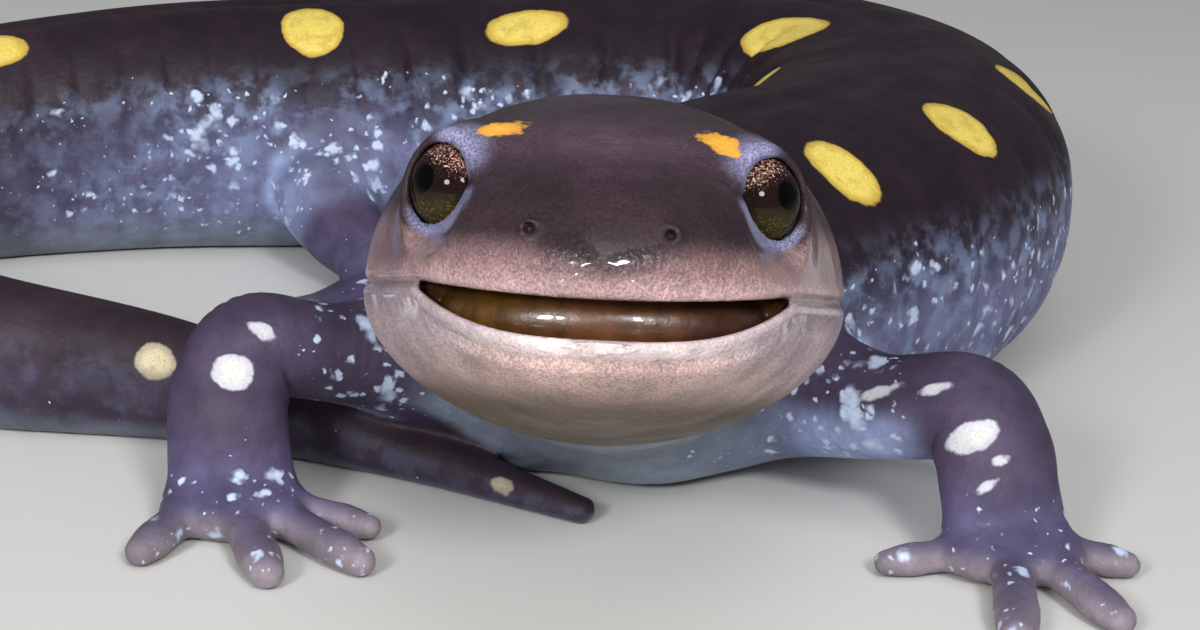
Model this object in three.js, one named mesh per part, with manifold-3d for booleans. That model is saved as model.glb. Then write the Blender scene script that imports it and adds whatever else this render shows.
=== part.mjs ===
// A spotted salamander (Ambystoma maculatum), life size, lying on a flat floor with its head raised.
// The trunk turns back behind the head in a U, and the tail comes round in front on the animal's right.
//
// Units are millimetres and +Z is up. The floor is z = 0. The head faces -Y, and the animal's left is +X.
// While it is built, X and Y are measured from the floor point under the widest part of the head.
// At the end everything is shifted so that the origin is the middle of the footprint.

import * as THREE from "three";
import { mergeVertices } from "three/addons/utils/BufferGeometryUtils.js";
import Module from "manifold-3d";

const wasm = await Module();
wasm.setup();

// ---------------------------------------------------------------- driving dimensions

const GAP = 0.3; // clear space between neighbouring pieces
const SINK = 0.3; // how far the round belly would reach below the floor before it is cut flat
const BODY_SIDES = 16;
const RINGS_PER_STATION = 3;
const SECTION_POWER = 2.35; // 2 is an ellipse, more is squarer: the body is a little square in section

// Head. Its own frame has x to the animal's left, y backwards along the skull and z up.
const HEAD_HEIGHT = 11.7; // head centre above the floor
const HEAD_PITCH = THREE.MathUtils.degToRad(18); // the snout points up by this much
const HEAD_SIDES = 22;
const WIDEST_Z = 0.5; // level of the widest line of the head
const CROWN_POWER = 2.14; // the upper half of the head's section is a little square
const JAW_POWER = 1.85; // and the lower half a little keeled
const SNOUT_TIP = -16.05;
const FACE_LEAN = -0.13; // the eyes sit this much off the middle line, to the right
// The snout hangs over the mouth: the front of the head is moved forwards by `reach` where it is
// higher than `high`, back by `setBack` where it is lower than `low`, and not at all behind `end`.
const OVERHANG = { reach: 1.05, setBack: 0.25, low: -1.5, high: 4.5, start: -13.5, end: -9 };
// One row for each ring: distance along the head, half width, top and bottom.
const HEAD_RINGS = [
  [-15.9, 1.6, 1.7, -1.2],
  [-15.5, 3.0, 2.5, -1.9],
  [-14.8, 4.3, 3.4, -2.6],
  [-13.6, 5.7, 4.6, -3.2],
  [-11.6, 6.95, 5.9, -3.7],
  [-9.2, 7.8, 7.1, -4.2],
  [-6.4, 8.65, 8.1, -4.7],
  [-3.4, 9.6, 8.9, -5.1],
  [-0.4, 10.1, 9.3, -5.5],
  [2.4, 10.0, 9.3, -5.6],
  [5.2, 9.3, 9.1, -5.6],
  [8.3, 7.9, 8.7, -5.7],
];

// Mouth, a little open: the lips part over this half width, and a crease runs on behind them.
const MOUTH_HALF_WIDTH = 6.75;
const UPPER_LIP = { middle: 0.55, corner: 0.95, bend: 2.1 };
const LOWER_LIP = { middle: -0.93, corner: 0.42, bend: 3.3 };
const MOUTH_DEPTH = 12; // from 2 mm ahead of the snout to the back of the opening
const CREASE_BACK = 1.2; // the crease ends here, below and behind the eye
const JAW_BACK = 4.5; // the jaw's lower edge meets the throat here
const MOUTH_ROOM = { y: -10, z: -0.1, halfWidth: 6.4, halfLength: 5, halfHeight: 1.95 };
const TONGUE = { y: -10.2, z: -0.25, halfWidth: 5.9, halfLength: 4.4, halfThickness: 1.4 };

// Eyes
const EYE = { x: 5.7, y: -7.7, z: 4.75, radius: 2.05 };
const EYE_YAW = THREE.MathUtils.degToRad(42); // outwards from straight ahead
const EYE_RISE = THREE.MathUtils.degToRad(8);
const ORBIT = { radius: 2.68, setBack: 0.55 }; // the rounded rim that holds the eye
// The opening between the lids: it widens by `flare` for each millimetre outwards.
const LIDS = { radius: 1.7, start: 0.95, flare: 0.8, length: 4 };

// Nostrils
const NOSTRIL = { x: 2.6, y: -15.3, z: 3.05, radius: 0.32 };

// Neck, trunk and tail along the spine: place on the floor plan, full width and full height.
const SPINE = [
  { x: -0.1, y: 7.9, wide: 15.7, tall: 14.4, middle: 10.7, tilt: 18 },
  { x: 0.5, y: 11.6, wide: 16.8, tall: 16.0, middle: 8.15, tilt: 10 },
  { x: 2.6, y: 15.3, wide: 18.2, tall: 16.3, middle: 7.85, tilt: 3 },
  { x: 7.3, y: 20.4, wide: 18.9, tall: 16.5 },
  { x: 12.7, y: 27.2, wide: 19.2, tall: 16.4 },
  { x: 15.5, y: 36.4, wide: 19.2, tall: 16.2 },
  { x: 14.2, y: 46.4, wide: 18.9, tall: 15.9 },
  { x: 7.2, y: 53.2, wide: 17.7, tall: 15.6 },
  { x: -3.6, y: 52.9, wide: 16.4, tall: 15.1 },
  { x: -15.0, y: 49.7, wide: 14.2, tall: 14.6 },
  { x: -28.0, y: 46.3, wide: 11.3, tall: 14.0 },
  { x: -40.0, y: 39.9, wide: 9.6, tall: 12.6 },
  { x: -45.9, y: 29.8, wide: 8.5, tall: 11.0 },
  { x: -42.0, y: 19.8, wide: 7.4, tall: 9.5 },
  { x: -31.0, y: 15.6, wide: 6.1, tall: 7.7 },
  { x: -19.5, y: 14.4, wide: 4.9, tall: 5.6 },
  { x: -9.6, y: 10.7, wide: 3.0, tall: 2.7 },
  { x: -0.6, y: 5.6, wide: 1.3, tall: 1.2 },
];
const TAIL_TIP = 0.6; // the tip is drawn out to a point by this much
// Each length runs between two places on the spine, counted in stations of the list above.
const LENGTHS = [
  ["neck", 0, 1.6],
  ["trunk_chest", 1.6, 3.4],
  ["trunk_middle", 3.4, 5],
  ["trunk_bend", 5, 6.7],
  ["trunk_rear", 6.7, 8.3],
  ["pelvis", 8.3, 9.6],
  ["tail_1", 9.6, 10.7],
  ["tail_2", 10.7, 11.8],
  ["tail_3", 11.8, 12.9],
  ["tail_4", 12.9, 14],
  ["tail_5", 14, 15.4],
  ["tail_6", 15.4, 17],
];

// Legs: the middle line from the body to the foot, with full width and thickness at each point.
const LEG_SIDES = 10;
const FORELEG_RIGHT = {
  line: [
    { at: [-3.8, 13.0, 4.6], wide: 9.4, thick: 9.2 },
    { at: [-8.2, 11.3, 5.7], wide: 6.4, thick: 7.8 },
    { at: [-12.4, 8.6, 6.5], wide: 4.4, thick: 4.9 },
    { at: [-15.6, 7.1, 7.1], wide: 4.9, thick: 4.7 },
    { at: [-16.5, 5.6, 5.4], wide: 5.3, thick: 4.3 },
    { at: [-16.4, 4.4, 3.8], wide: 5.4, thick: 3.7 },
    { at: [-16.1, 3.3, 2.1], wide: 5.6, thick: 2.8 },
    { at: [-15.9, 2.2, 1.2], wide: 5.6, thick: 2.2 },
  ],
  cuts: [3.15, 6.1],
  palm: { at: [-15.8, 2.5, 1.15], halfWidth: 3.2, halfLength: 2.2, turn: 8 },
  digits: [
    { from: [-17.6, 2.6], to: [-19.3, -1.7], wide: 1.75 },
    { from: [-15.6, 1.9], to: [-13.7, -3.3], wide: 1.95 },
    { from: [-14.2, 2.4], to: [-9.9, -1.7], wide: 1.75 },
    { from: [-14.0, 3.4], to: [-9.9, 2.2], wide: 1.45 },
  ],
};
const FORELEG_LEFT = {
  line: [
    { at: [5.2, 13.2, 4.9], wide: 9.4, thick: 9.4 },
    { at: [9.2, 10.6, 5.2], wide: 6.4, thick: 6.9 },
    { at: [12.8, 7.6, 5.5], wide: 4.8, thick: 4.9 },
    { at: [16.4, 5.6, 6.3], wide: 5.0, thick: 4.9 },
    { at: [17.5, 4.2, 5.0], wide: 5.4, thick: 4.4 },
    { at: [17.8, 3.0, 3.6], wide: 5.4, thick: 3.7 },
    { at: [18.1, 2.1, 2.1], wide: 5.6, thick: 2.8 },
    { at: [18.3, 1.2, 1.2], wide: 5.6, thick: 2.2 },
  ],
  cuts: [3.15, 6.1],
  palm: { at: [18.4, 1.6, 1.15], halfWidth: 3.2, halfLength: 2.2, turn: -4 },
  digits: [
    { from: [16.8, 1.6], to: [12.9, 0.9], wide: 1.45 },
    { from: [18.3, 1.0], to: [17.8, -6.2], wide: 1.95 },
    { from: [19.8, 1.2], to: [22.3, -4.1], wide: 1.8 },
    { from: [20.4, 2.4], to: [23.6, 1.9], wide: 1.45 },
  ],
};
const HINDLEG_RIGHT = {
  line: [
    { at: [-12.4, 47.5, 5.9], wide: 7.4, thick: 7.4 },
    { at: [-14.4, 44.4, 5.2], wide: 6.8, thick: 6.8 },
    { at: [-15.8, 41.7, 4.5], wide: 6.2, thick: 5.5 },
    { at: [-14.8, 39.2, 3.2], wide: 4.7, thick: 4.2 },
    { at: [-13.3, 36.9, 2.3], wide: 3.6, thick: 3.2 },
    { at: [-12.6, 34.9, 1.6], wide: 4.0, thick: 2.7 },
    { at: [-12.2, 33.2, 1.2], wide: 5.0, thick: 2.2 },
  ],
  cuts: [2.3, 5.0],
  palm: { at: [-12.4, 32.1, 1.15], halfWidth: 3.3, halfLength: 2.7, turn: 20 },
  digits: [
    { from: [-14.3, 32.9], to: [-18.0, 30.9], wide: 1.5 },
    { from: [-14.0, 31.3], to: [-16.9, 27.1], wide: 1.7 },
    { from: [-12.8, 30.7], to: [-13.7, 25.1], wide: 1.8 },
    { from: [-11.2, 30.9], to: [-9.9, 25.7], wide: 1.7 },
    { from: [-10.4, 32.1], to: [-7.2, 28.8], wide: 1.5 },
  ],
};
const HINDLEG_LEFT = {
  line: [
    { at: [-9.6, 53.2, 5.9], wide: 7.4, thick: 7.4 },
    { at: [-8.2, 58.0, 5.6], wide: 6.4, thick: 6.2 },
    { at: [-6.9, 61.8, 5.5], wide: 5.8, thick: 5.8 },
    { at: [-7.5, 64.6, 4.4], wide: 4.8, thick: 4.6 },
    { at: [-8.6, 66.4, 3.0], wide: 4.0, thick: 3.3 },
    { at: [-8.9, 67.9, 1.9], wide: 4.4, thick: 2.7 },
    { at: [-8.9, 69.4, 1.2], wide: 5.0, thick: 2.2 },
  ],
  cuts: [2.3, 5.0],
  palm: { at: [-8.9, 70.0, 1.15], halfWidth: 3.3, halfLength: 2.7, turn: 4 },
  digits: [
    { from: [-10.7, 69.4], to: [-14.4, 71.2], wide: 1.5 },
    { from: [-10.4, 71.0], to: [-13.0, 75.2], wide: 1.7 },
    { from: [-9.0, 71.6], to: [-9.4, 77.2], wide: 1.8 },
    { from: [-7.6, 71.3], to: [-5.6, 76.3], wide: 1.7 },
    { from: [-7.0, 70.0], to: [-3.5, 72.6], wide: 1.5 },
  ],
};
const DIGIT_HEIGHT = 0.66; // middle line of a digit above the floor at its tip

// ---------------------------------------------------------------- solids

function solidOf(geometry) {
  const bare = geometry.index ? geometry.toNonIndexed() : geometry.clone();
  bare.deleteAttribute("normal");
  bare.deleteAttribute("uv");
  const merged = mergeVertices(bare, 1e-4);
  return new wasm.Manifold(
    new wasm.Mesh({
      numProp: 3,
      vertProperties: merged.attributes.position.array,
      triVerts: new Uint32Array(merged.index.array),
    }),
  );
}

function geometryOf(solid) {
  const mesh = solid.getMesh();
  const geometry = new THREE.BufferGeometry();
  geometry.setAttribute("position", new THREE.BufferAttribute(mesh.vertProperties, 3));
  geometry.setIndex(new THREE.BufferAttribute(mesh.triVerts, 1));
  geometry.computeVertexNormals();
  return geometry;
}

function boxSolid(size, matrix) {
  return solidOf(new THREE.BoxGeometry(...size).applyMatrix4(matrix));
}

function ellipsoidSolid(radii, matrix, around = 14, down = 8) {
  const geometry = new THREE.SphereGeometry(1, around, down);
  return solidOf(geometry.scale(...radii).applyMatrix4(matrix));
}

// Joins rings of points, each with the same number of points, into one closed skin.
// `ends` are the two points that close the first and the last ring.
function loft(rings, ends) {
  const count = rings[0].length;
  const positions = [ends[0], ...rings.flat(), ends[1]].flatMap((p) => [p.x, p.y, p.z]);
  const last = rings.length * count + 1;
  const index = [];
  for (let j = 0; j < count; j += 1) {
    const k = (j + 1) % count;
    index.push(0, 1 + k, 1 + j);
    for (let i = 0; i + 1 < rings.length; i += 1) {
      const near = 1 + i * count;
      const far = near + count;
      index.push(near + j, near + k, far + k);
      index.push(near + j, far + k, far + j);
    }
    index.push(last - count + j, last - count + k, last);
  }
  const geometry = new THREE.BufferGeometry();
  geometry.setAttribute("position", new THREE.Float32BufferAttribute(positions, 3));
  geometry.setIndex(index);
  return geometry;
}

// A ring of points round `centre`: `across` and `up` are the half axes of its section.
function ring(centre, across, up, sides, power = 2) {
  return Array.from({ length: sides }, (_, j) => {
    const angle = (2 * Math.PI * j) / sides;
    const bend = (value) => Math.sign(value) * Math.abs(value) ** (2 / power);
    return centre
      .clone()
      .addScaledVector(across, bend(Math.cos(angle)))
      .addScaledVector(up, bend(Math.sin(angle)));
  });
}

const middleOf = (points) =>
  points.reduce((sum, p) => sum.add(p), new THREE.Vector3()).divideScalar(points.length);

const vector = (list) => new THREE.Vector3(...list);

const headFrame = new THREE.Matrix4()
  .makeTranslation(0, 0, HEAD_HEIGHT)
  .multiply(new THREE.Matrix4().makeRotationX(-HEAD_PITCH));

const inHead = (x, y, z) => headFrame.clone().multiply(new THREE.Matrix4().makeTranslation(x, y, z));

// ---------------------------------------------------------------- neck, trunk and tail

const stationMiddle = (s) => s.middle ?? s.tall / 2 - SINK * Math.min(1, s.tall / 8);
const spineLine = new THREE.CatmullRomCurve3(
  SPINE.map((s) => new THREE.Vector3(s.x, s.y, stationMiddle(s))),
  false,
  "catmullrom",
);
const spineGirth = new THREE.CatmullRomCurve3(
  SPINE.map((s) => new THREE.Vector3(s.wide / 2, s.tall / 2, s.tilt ?? 0)),
  false,
  "catmullrom",
);

// The ring of the body at a place on the spine, grown on all sides by `grow`.
function bodyRing(station, grow) {
  const t = station / (SPINE.length - 1);
  const centre = spineLine.getPoint(t);
  const girth = spineGirth.getPoint(t);
  const along = spineLine.getTangent(t).setZ(0).normalize();
  const tilt = THREE.MathUtils.degToRad(girth.z);
  const side = new THREE.Vector3(along.y, -along.x, 0).multiplyScalar(-(girth.x + grow));
  const up = new THREE.Vector3(0, 0, Math.cos(tilt))
    .addScaledVector(along, Math.sin(tilt))
    .multiplyScalar(girth.y + grow);
  return ring(centre, side, up, BODY_SIDES, SECTION_POWER);
}

function bodyLength(from, to, grow = 0) {
  const steps = Math.max(2, Math.round((to - from) * RINGS_PER_STATION));
  const rings = Array.from({ length: steps + 1 }, (_, i) =>
    bodyRing(from + ((to - from) * i) / steps, grow),
  );
  const tip = spineLine.getTangent(1).multiplyScalar(to === SPINE.length - 1 ? TAIL_TIP : 0);
  return loft(rings, [middleOf(rings[0]), middleOf(rings.at(-1)).add(tip)]);
}

// How many stations one half of the gap takes up at a place on the spine.
function halfGapAt(station) {
  const t = station / (SPINE.length - 1);
  const step = 0.001;
  const moved = spineLine.getPoint(Math.min(1, t + step)).distanceTo(spineLine.getPoint(t - step));
  return (GAP / 2 / moved) * 2 * step * (SPINE.length - 1);
}

const floorCut = boxSolid([400, 400, 100], new THREE.Matrix4().makeTranslation(0, 0, 50));
const wholeBody = solidOf(bodyLength(0, SPINE.length - 1, GAP));

function buildLengths() {
  const lastStation = SPINE.length - 1;
  const headRoom = boxSolid([40, 40, 40], inHead(0, HEAD_RINGS.at(-1)[0] + GAP - 20, 0));
  return LENGTHS.map(([name, from, to]) => {
    const start = from === 0 ? 0 : from + halfGapAt(from);
    const end = to === lastStation ? to : to - halfGapAt(to);
    const length = solidOf(bodyLength(start, end)).intersect(floorCut);
    return [name, from === 0 ? length.subtract(headRoom) : length];
  });
}

// ---------------------------------------------------------------- head

const overhangAt = (y, z) => {
  const { reach, setBack, low, high, start, end } = OVERHANG;
  const forward = THREE.MathUtils.smoothstep(z, low, high) * (reach + setBack) - setBack;
  return forward * (1 - THREE.MathUtils.smoothstep(y, start, end));
};

// Upper half and lower half of a head ring share their widest line and differ in height.
function headRing([y, halfWidth, top, bottom]) {
  const centre = new THREE.Vector3(0, y, WIDEST_Z);
  const across = new THREE.Vector3(-halfWidth, 0, 0);
  const tall = new THREE.Vector3(0, 0, top - WIDEST_Z);
  const deep = new THREE.Vector3(0, 0, WIDEST_Z - bottom);
  const upper = ring(centre, across, tall, HEAD_SIDES, CROWN_POWER).slice(0, HEAD_SIDES / 2);
  const lower = ring(centre, across, deep, HEAD_SIDES, JAW_POWER).slice(HEAD_SIDES / 2);
  return [...upper, ...lower].map((p) => p.setY(p.y - overhangAt(p.y, p.z)));
}

// Height of a lip at a distance from the middle: it rises to the corner, then runs on level.
function lipHeight(lip, x) {
  const share = Math.min(1, Math.abs(x) / MOUTH_HALF_WIDTH);
  return lip.middle + (lip.corner - lip.middle) * share ** lip.bend;
}

// A bar along the head between two lips, to `depth` behind the snout. It parts head and jaw.
function mouthBar(lower, halfWidth, depth) {
  const steps = 12;
  const xs = Array.from({ length: steps + 1 }, (_, i) => halfWidth * (1 - (2 * i) / steps));
  const upperEdge = xs.map((x) => new THREE.Vector2(x, lipHeight(UPPER_LIP, x)));
  const lowerEdge = xs.map((x) => {
    const opened = Math.min(lipHeight(lower, x), lipHeight(UPPER_LIP, x) - GAP);
    return new THREE.Vector2(x, opened);
  });
  const bar = new THREE.ExtrudeGeometry(new THREE.Shape([...upperEdge, ...lowerEdge.reverse()]), {
    depth,
    bevelEnabled: false,
  });
  // The shape is drawn in x and z: turn it so that its depth runs forward from the back end.
  const stand = new THREE.Matrix4().makeRotationX(Math.PI / 2);
  const back = new THREE.Matrix4().makeTranslation(0, SNOUT_TIP - 2 + depth, 0);
  return solidOf(bar.applyMatrix4(stand).applyMatrix4(back).applyMatrix4(headFrame));
}

// The cuts that part the lower jaw from the head: along the mouth, then down to the throat.
function jawCuts() {
  const opening = mouthBar(LOWER_LIP, MOUTH_HALF_WIDTH, MOUTH_DEPTH);
  const crease = mouthBar(UPPER_LIP, 16, CREASE_BACK - SNOUT_TIP + 2);
  const drop = 9;
  const lean = Math.atan2(JAW_BACK - CREASE_BACK, drop);
  const hinge = inHead(0, CREASE_BACK, UPPER_LIP.corner)
    .multiply(new THREE.Matrix4().makeRotationX(lean))
    .multiply(new THREE.Matrix4().makeTranslation(0, 0, -drop / 2));
  return opening.add(crease).add(boxSolid([30, GAP, drop], hinge));
}

const gaze = (side) =>
  new THREE.Vector3(
    side * Math.sin(EYE_YAW) * Math.cos(EYE_RISE),
    -Math.cos(EYE_YAW) * Math.cos(EYE_RISE),
    Math.sin(EYE_RISE),
  );

function eyeAt(side, radius, setBack = 0) {
  const look = gaze(side);
  const place = inHead(
    side * EYE.x + FACE_LEAN - look.x * setBack,
    EYE.y - look.y * setBack,
    EYE.z - look.z * setBack,
  );
  return ellipsoidSolid([radius, radius, radius], place, 12, 8);
}

// A cone along the line of sight, from just inside the eye to well outside the head.
function lidOpening(side) {
  const look = gaze(side);
  const { radius, flare, length } = LIDS;
  const cone = new THREE.CylinderGeometry(radius + flare * length, radius, length, 16);
  const turn = new THREE.Quaternion().setFromUnitVectors(new THREE.Vector3(0, 1, 0), look);
  const place = new THREE.Matrix4().compose(
    new THREE.Vector3(side * EYE.x + FACE_LEAN, EYE.y, EYE.z).addScaledVector(
      look,
      LIDS.start + length / 2,
    ),
    turn,
    new THREE.Vector3(1, 1, 1),
  );
  return solidOf(cone.applyMatrix4(place).applyMatrix4(headFrame));
}

function buildHead() {
  const rings = HEAD_RINGS.map(headRing);
  const tip = new THREE.Vector3(0, SNOUT_TIP - 0.4, 1.3);
  let head = solidOf(loft(rings, [tip, middleOf(rings.at(-1))]).applyMatrix4(headFrame));
  for (const side of [-1, 1]) {
    head = head.add(eyeAt(side, ORBIT.radius, ORBIT.setBack));
  }
  for (const side of [-1, 1]) {
    head = head.subtract(eyeAt(side, EYE.radius + GAP)).subtract(lidOpening(side));
    const { x, y, z, radius } = NOSTRIL;
    head = head.subtract(
      ellipsoidSolid([radius, radius, radius], inHead(side * x + 2 * FACE_LEAN, y, z), 8, 6),
    );
  }
  const room = ellipsoidSolid(
    [MOUTH_ROOM.halfWidth, MOUTH_ROOM.halfLength, MOUTH_ROOM.halfHeight],
    inHead(0, MOUTH_ROOM.y, MOUTH_ROOM.z),
    20,
    8,
  );
  const parted = head.subtract(room).subtract(jawCuts());
  const [upper, lower] = parted
    .decompose()
    .sort((a, b) => b.boundingBox().max[2] - a.boundingBox().max[2]);
  const tongue = ellipsoidSolid(
    [TONGUE.halfWidth, TONGUE.halfLength, TONGUE.halfThickness],
    inHead(0, TONGUE.y, TONGUE.z),
    16,
    8,
  );
  return [
    ["head", upper],
    ["lower_jaw", lower],
    ["tongue", tongue],
    ["eye_left", eyeAt(1, EYE.radius)],
    ["eye_right", eyeAt(-1, EYE.radius)],
  ];
}

// ---------------------------------------------------------------- legs

// A tube with round ends along points with a width and a thickness each. Its width lies level
// at the last point, and is carried along the line from there.
function limb(points, sides, stepsEach) {
  const line = new THREE.CatmullRomCurve3(points.map((p) => vector(p.at)), false, "catmullrom");
  const girth = new THREE.CatmullRomCurve3(
    points.map((p) => new THREE.Vector3(p.wide / 2, p.thick / 2, 0)),
    false,
    "catmullrom",
  );
  const steps = (points.length - 1) * stepsEach;
  const rings = [];
  const along = line.getTangent(1);
  let across = new THREE.Vector3(along.y, -along.x, 0).normalize();
  const addRing = (t, shrink, shift) => {
    const tangent = line.getTangent(t);
    across = across.clone().addScaledVector(tangent, -across.dot(tangent)).normalize();
    const up = new THREE.Vector3().crossVectors(tangent, across);
    const size = girth.getPoint(t);
    const centre = line.getPoint(t).addScaledVector(tangent, shift * size.y);
    rings.unshift(
      ring(
        centre,
        across.clone().multiplyScalar(size.x * shrink),
        up.multiplyScalar(size.y * shrink),
        sides,
      ),
    );
  };
  const round = [0.85];
  round.forEach((s) => addRing(1, Math.sqrt(1 - s * s), s));
  for (let i = steps; i >= 0; i -= 1) addRing(i / steps, 1, 0);
  round.toReversed().forEach((s) => addRing(0, Math.sqrt(1 - s * s), -s));
  return loft(rings, [middleOf(rings[0]), middleOf(rings.at(-1))]);
}

// A digit runs out over the floor from inside the palm: thick at the root, with a knuckle and a blunt tip.
function digit({ from, to, wide }) {
  const root = new THREE.Vector3(...from, DIGIT_HEIGHT + 0.45);
  const tip = new THREE.Vector3(...to, DIGIT_HEIGHT);
  const shares = [
    [0, 1.15],
    [0.35, 0.98],
    [0.62, 1.02],
    [1, 0.82],
  ];
  const points = shares.map(([share, scale]) => ({
    at: root.clone().lerp(tip, share).toArray(),
    wide: wide * scale,
    thick: Math.min(wide * scale, 1.7),
  }));
  return solidOf(limb(points, 6, 1));
}

// A thin plate across the leg's middle line, at a place counted in points of the line.
function legCut(line, place) {
  const curve = new THREE.CatmullRomCurve3(line.map((p) => vector(p.at)), false, "catmullrom");
  const t = place / (line.length - 1);
  const turn = new THREE.Quaternion().setFromUnitVectors(
    new THREE.Vector3(0, 0, 1),
    curve.getTangent(t),
  );
  const matrix = new THREE.Matrix4().compose(curve.getPoint(t), turn, new THREE.Vector3(1, 1, 1));
  return boxSolid([9, 9, GAP], matrix);
}

function buildLeg(leg, names) {
  const turn = THREE.MathUtils.degToRad(leg.palm.turn);
  const palmFrame = new THREE.Matrix4()
    .makeTranslation(...leg.palm.at)
    .multiply(new THREE.Matrix4().makeRotationZ(turn));
  let whole = solidOf(limb(leg.line, LEG_SIDES, 2));
  const palmRadii = [leg.palm.halfWidth, leg.palm.halfLength, 1.3];
  whole = whole.add(ellipsoidSolid(palmRadii, palmFrame, 10, 6));
  for (const each of leg.digits) {
    whole = whole.add(digit(each));
  }
  whole = whole.subtract(wholeBody).intersect(floorCut);
  for (const place of leg.cuts) {
    whole = whole.subtract(legCut(leg.line, place));
  }
  // The pieces come apart at the cuts. Each is known by its distance from the body, biggest first.
  const pieces = whole
    .decompose()
    .sort((a, b) => b.volume() - a.volume())
    .slice(0, names.length);
  const body = vector(leg.line[0].at);
  const distance = (piece) => {
    const { min, max } = piece.boundingBox();
    return middleOf([vector(min), vector(max)]).distanceTo(body);
  };
  pieces.sort((a, b) => distance(a) - distance(b));
  return pieces.map((piece, i) => [names[i], piece]);
}

const foreleg = (side) => [`foreleg_${side}_upper`, `foreleg_${side}_lower`, `forefoot_${side}`];
const hindleg = (side) => [`hindleg_${side}_thigh`, `hindleg_${side}_shank`, `hindfoot_${side}`];

// ---------------------------------------------------------------- materials and scene graph

const MATERIALS = {
  back: new THREE.MeshStandardMaterial({ color: 0x33292f, roughness: 0.35, metalness: 0 }),
  jaw: new THREE.MeshStandardMaterial({ color: 0xb39a93, roughness: 0.4, metalness: 0 }),
  limb: new THREE.MeshStandardMaterial({ color: 0x5f5673, roughness: 0.4, metalness: 0 }),
  mouth: new THREE.MeshStandardMaterial({ color: 0x7d5a50, roughness: 0.2, metalness: 0 }),
  eye: new THREE.MeshStandardMaterial({ color: 0x120f10, roughness: 0.05, metalness: 0 }),
};

function materialFor(name) {
  if (name.startsWith("eye")) return MATERIALS.eye;
  if (name === "tongue") return MATERIALS.mouth;
  if (name === "lower_jaw") return MATERIALS.jaw;
  return /leg|foot/.test(name) ? MATERIALS.limb : MATERIALS.back;
}

const salamander = new THREE.Group();
const animal = new THREE.Group();
salamander.add(animal);

const pieces = [
  ...buildHead(),
  ...buildLengths(),
  ...buildLeg(FORELEG_RIGHT, foreleg("right")),
  ...buildLeg(FORELEG_LEFT, foreleg("left")),
  ...buildLeg(HINDLEG_RIGHT, hindleg("right")),
  ...buildLeg(HINDLEG_LEFT, hindleg("left")),
];
for (const [name, solid] of pieces) {
  const mesh = new THREE.Mesh(geometryOf(solid), materialFor(name));
  mesh.name = name;
  animal.add(mesh);
}

const footprint = new THREE.Box3().setFromObject(animal);
const middle = footprint.getCenter(new THREE.Vector3());
animal.position.set(-middle.x, -middle.y, -footprint.min.z);

export default salamander;
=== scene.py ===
"""A spotted salamander, life size, lying curled on a flat floor with its head raised.

One skin stands for every piece of flesh. It is the surface where a distance field, put together
from the head, the body's bent tube and the legs, is zero. The eyes and the tongue are pieces of
their own. Sizes are in millimetres in the animal's own place, which has its origin on the floor
under the widest part of the head: X to the animal's left at the head, Y backwards, Z up.
"""

import math

import bpy
import numpy as np
from mathutils import Matrix, Vector


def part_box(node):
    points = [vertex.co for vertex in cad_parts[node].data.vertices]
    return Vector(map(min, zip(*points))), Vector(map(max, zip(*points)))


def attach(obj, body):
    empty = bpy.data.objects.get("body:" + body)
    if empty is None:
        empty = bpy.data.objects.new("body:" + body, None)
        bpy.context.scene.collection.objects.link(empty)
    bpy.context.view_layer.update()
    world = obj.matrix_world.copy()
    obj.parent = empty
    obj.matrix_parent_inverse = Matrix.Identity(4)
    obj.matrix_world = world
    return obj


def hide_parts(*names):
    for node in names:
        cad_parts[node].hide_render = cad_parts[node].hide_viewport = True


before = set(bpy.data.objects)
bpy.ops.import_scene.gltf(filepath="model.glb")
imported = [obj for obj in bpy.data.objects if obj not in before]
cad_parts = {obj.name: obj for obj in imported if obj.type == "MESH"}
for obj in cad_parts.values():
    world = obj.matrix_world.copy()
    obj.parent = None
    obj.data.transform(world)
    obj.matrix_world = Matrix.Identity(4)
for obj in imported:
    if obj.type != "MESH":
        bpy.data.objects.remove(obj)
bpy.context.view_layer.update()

MM = 0.001
FAR = 50.0  # stands for "nowhere near" in the distance field
CHUNK = 40000  # how many points are measured at a time, which keeps the tables small

# ---------- head sizes

HEAD_CENTRE = np.array([0.0, 0.0, 11.7])
HEAD_PITCH = math.radians(18)
HEAD_BACK = np.array([0.0, math.cos(HEAD_PITCH), -math.sin(HEAD_PITCH)])
HEAD_UP = np.array([0.0, math.sin(HEAD_PITCH), math.cos(HEAD_PITCH)])
WIDEST_Z = 0.5
SNOUT_TIP = -16.05
CROWN_POWER = 2.14  # the upper half of the head's section is a little square
JAW_POWER = 1.85  # and the lower half a little keeled
# Rings of the head: distance along it, half width, top and bottom.
HEAD_RINGS = [
    (-15.9, 1.6, 1.7, -1.2),
    (-15.5, 3.0, 2.5, -1.9),
    (-14.8, 4.3, 3.4, -2.6),
    (-13.6, 5.7, 4.6, -3.2),
    (-11.6, 6.95, 5.9, -3.7),
    (-9.2, 7.8, 7.1, -4.2),
    (-6.4, 8.65, 8.1, -4.7),
    (-3.4, 9.6, 8.9, -5.1),
    (-0.4, 10.1, 9.3, -5.5),
    (2.4, 10.0, 9.3, -5.6),
    (5.2, 9.3, 9.1, -5.6),
    (8.3, 7.9, 8.7, -5.7),
    (10.5, 5.5, 7.6, -4.4),
    (11.6, 2.5, 5.0, -2.0),
]

MOUTH_HALF_WIDTH = 6.75
UPPER_LIP = (0.55, 0.95)  # height in the middle and at the corner
LOWER_LIP = (-0.93, 0.42)
UPPER_LIP_BEND = 2.1
LOWER_LIP_BEND = 3.3
MOUTH_ROOM_CENTRE = np.array([0.0, -9.6, 0.0])  # the room behind the lips
MOUTH_ROOM_RADII = (6.3, 5.4, 2.1)
CREASE_Z = 0.93  # height of the crease behind the corner of the mouth
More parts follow.
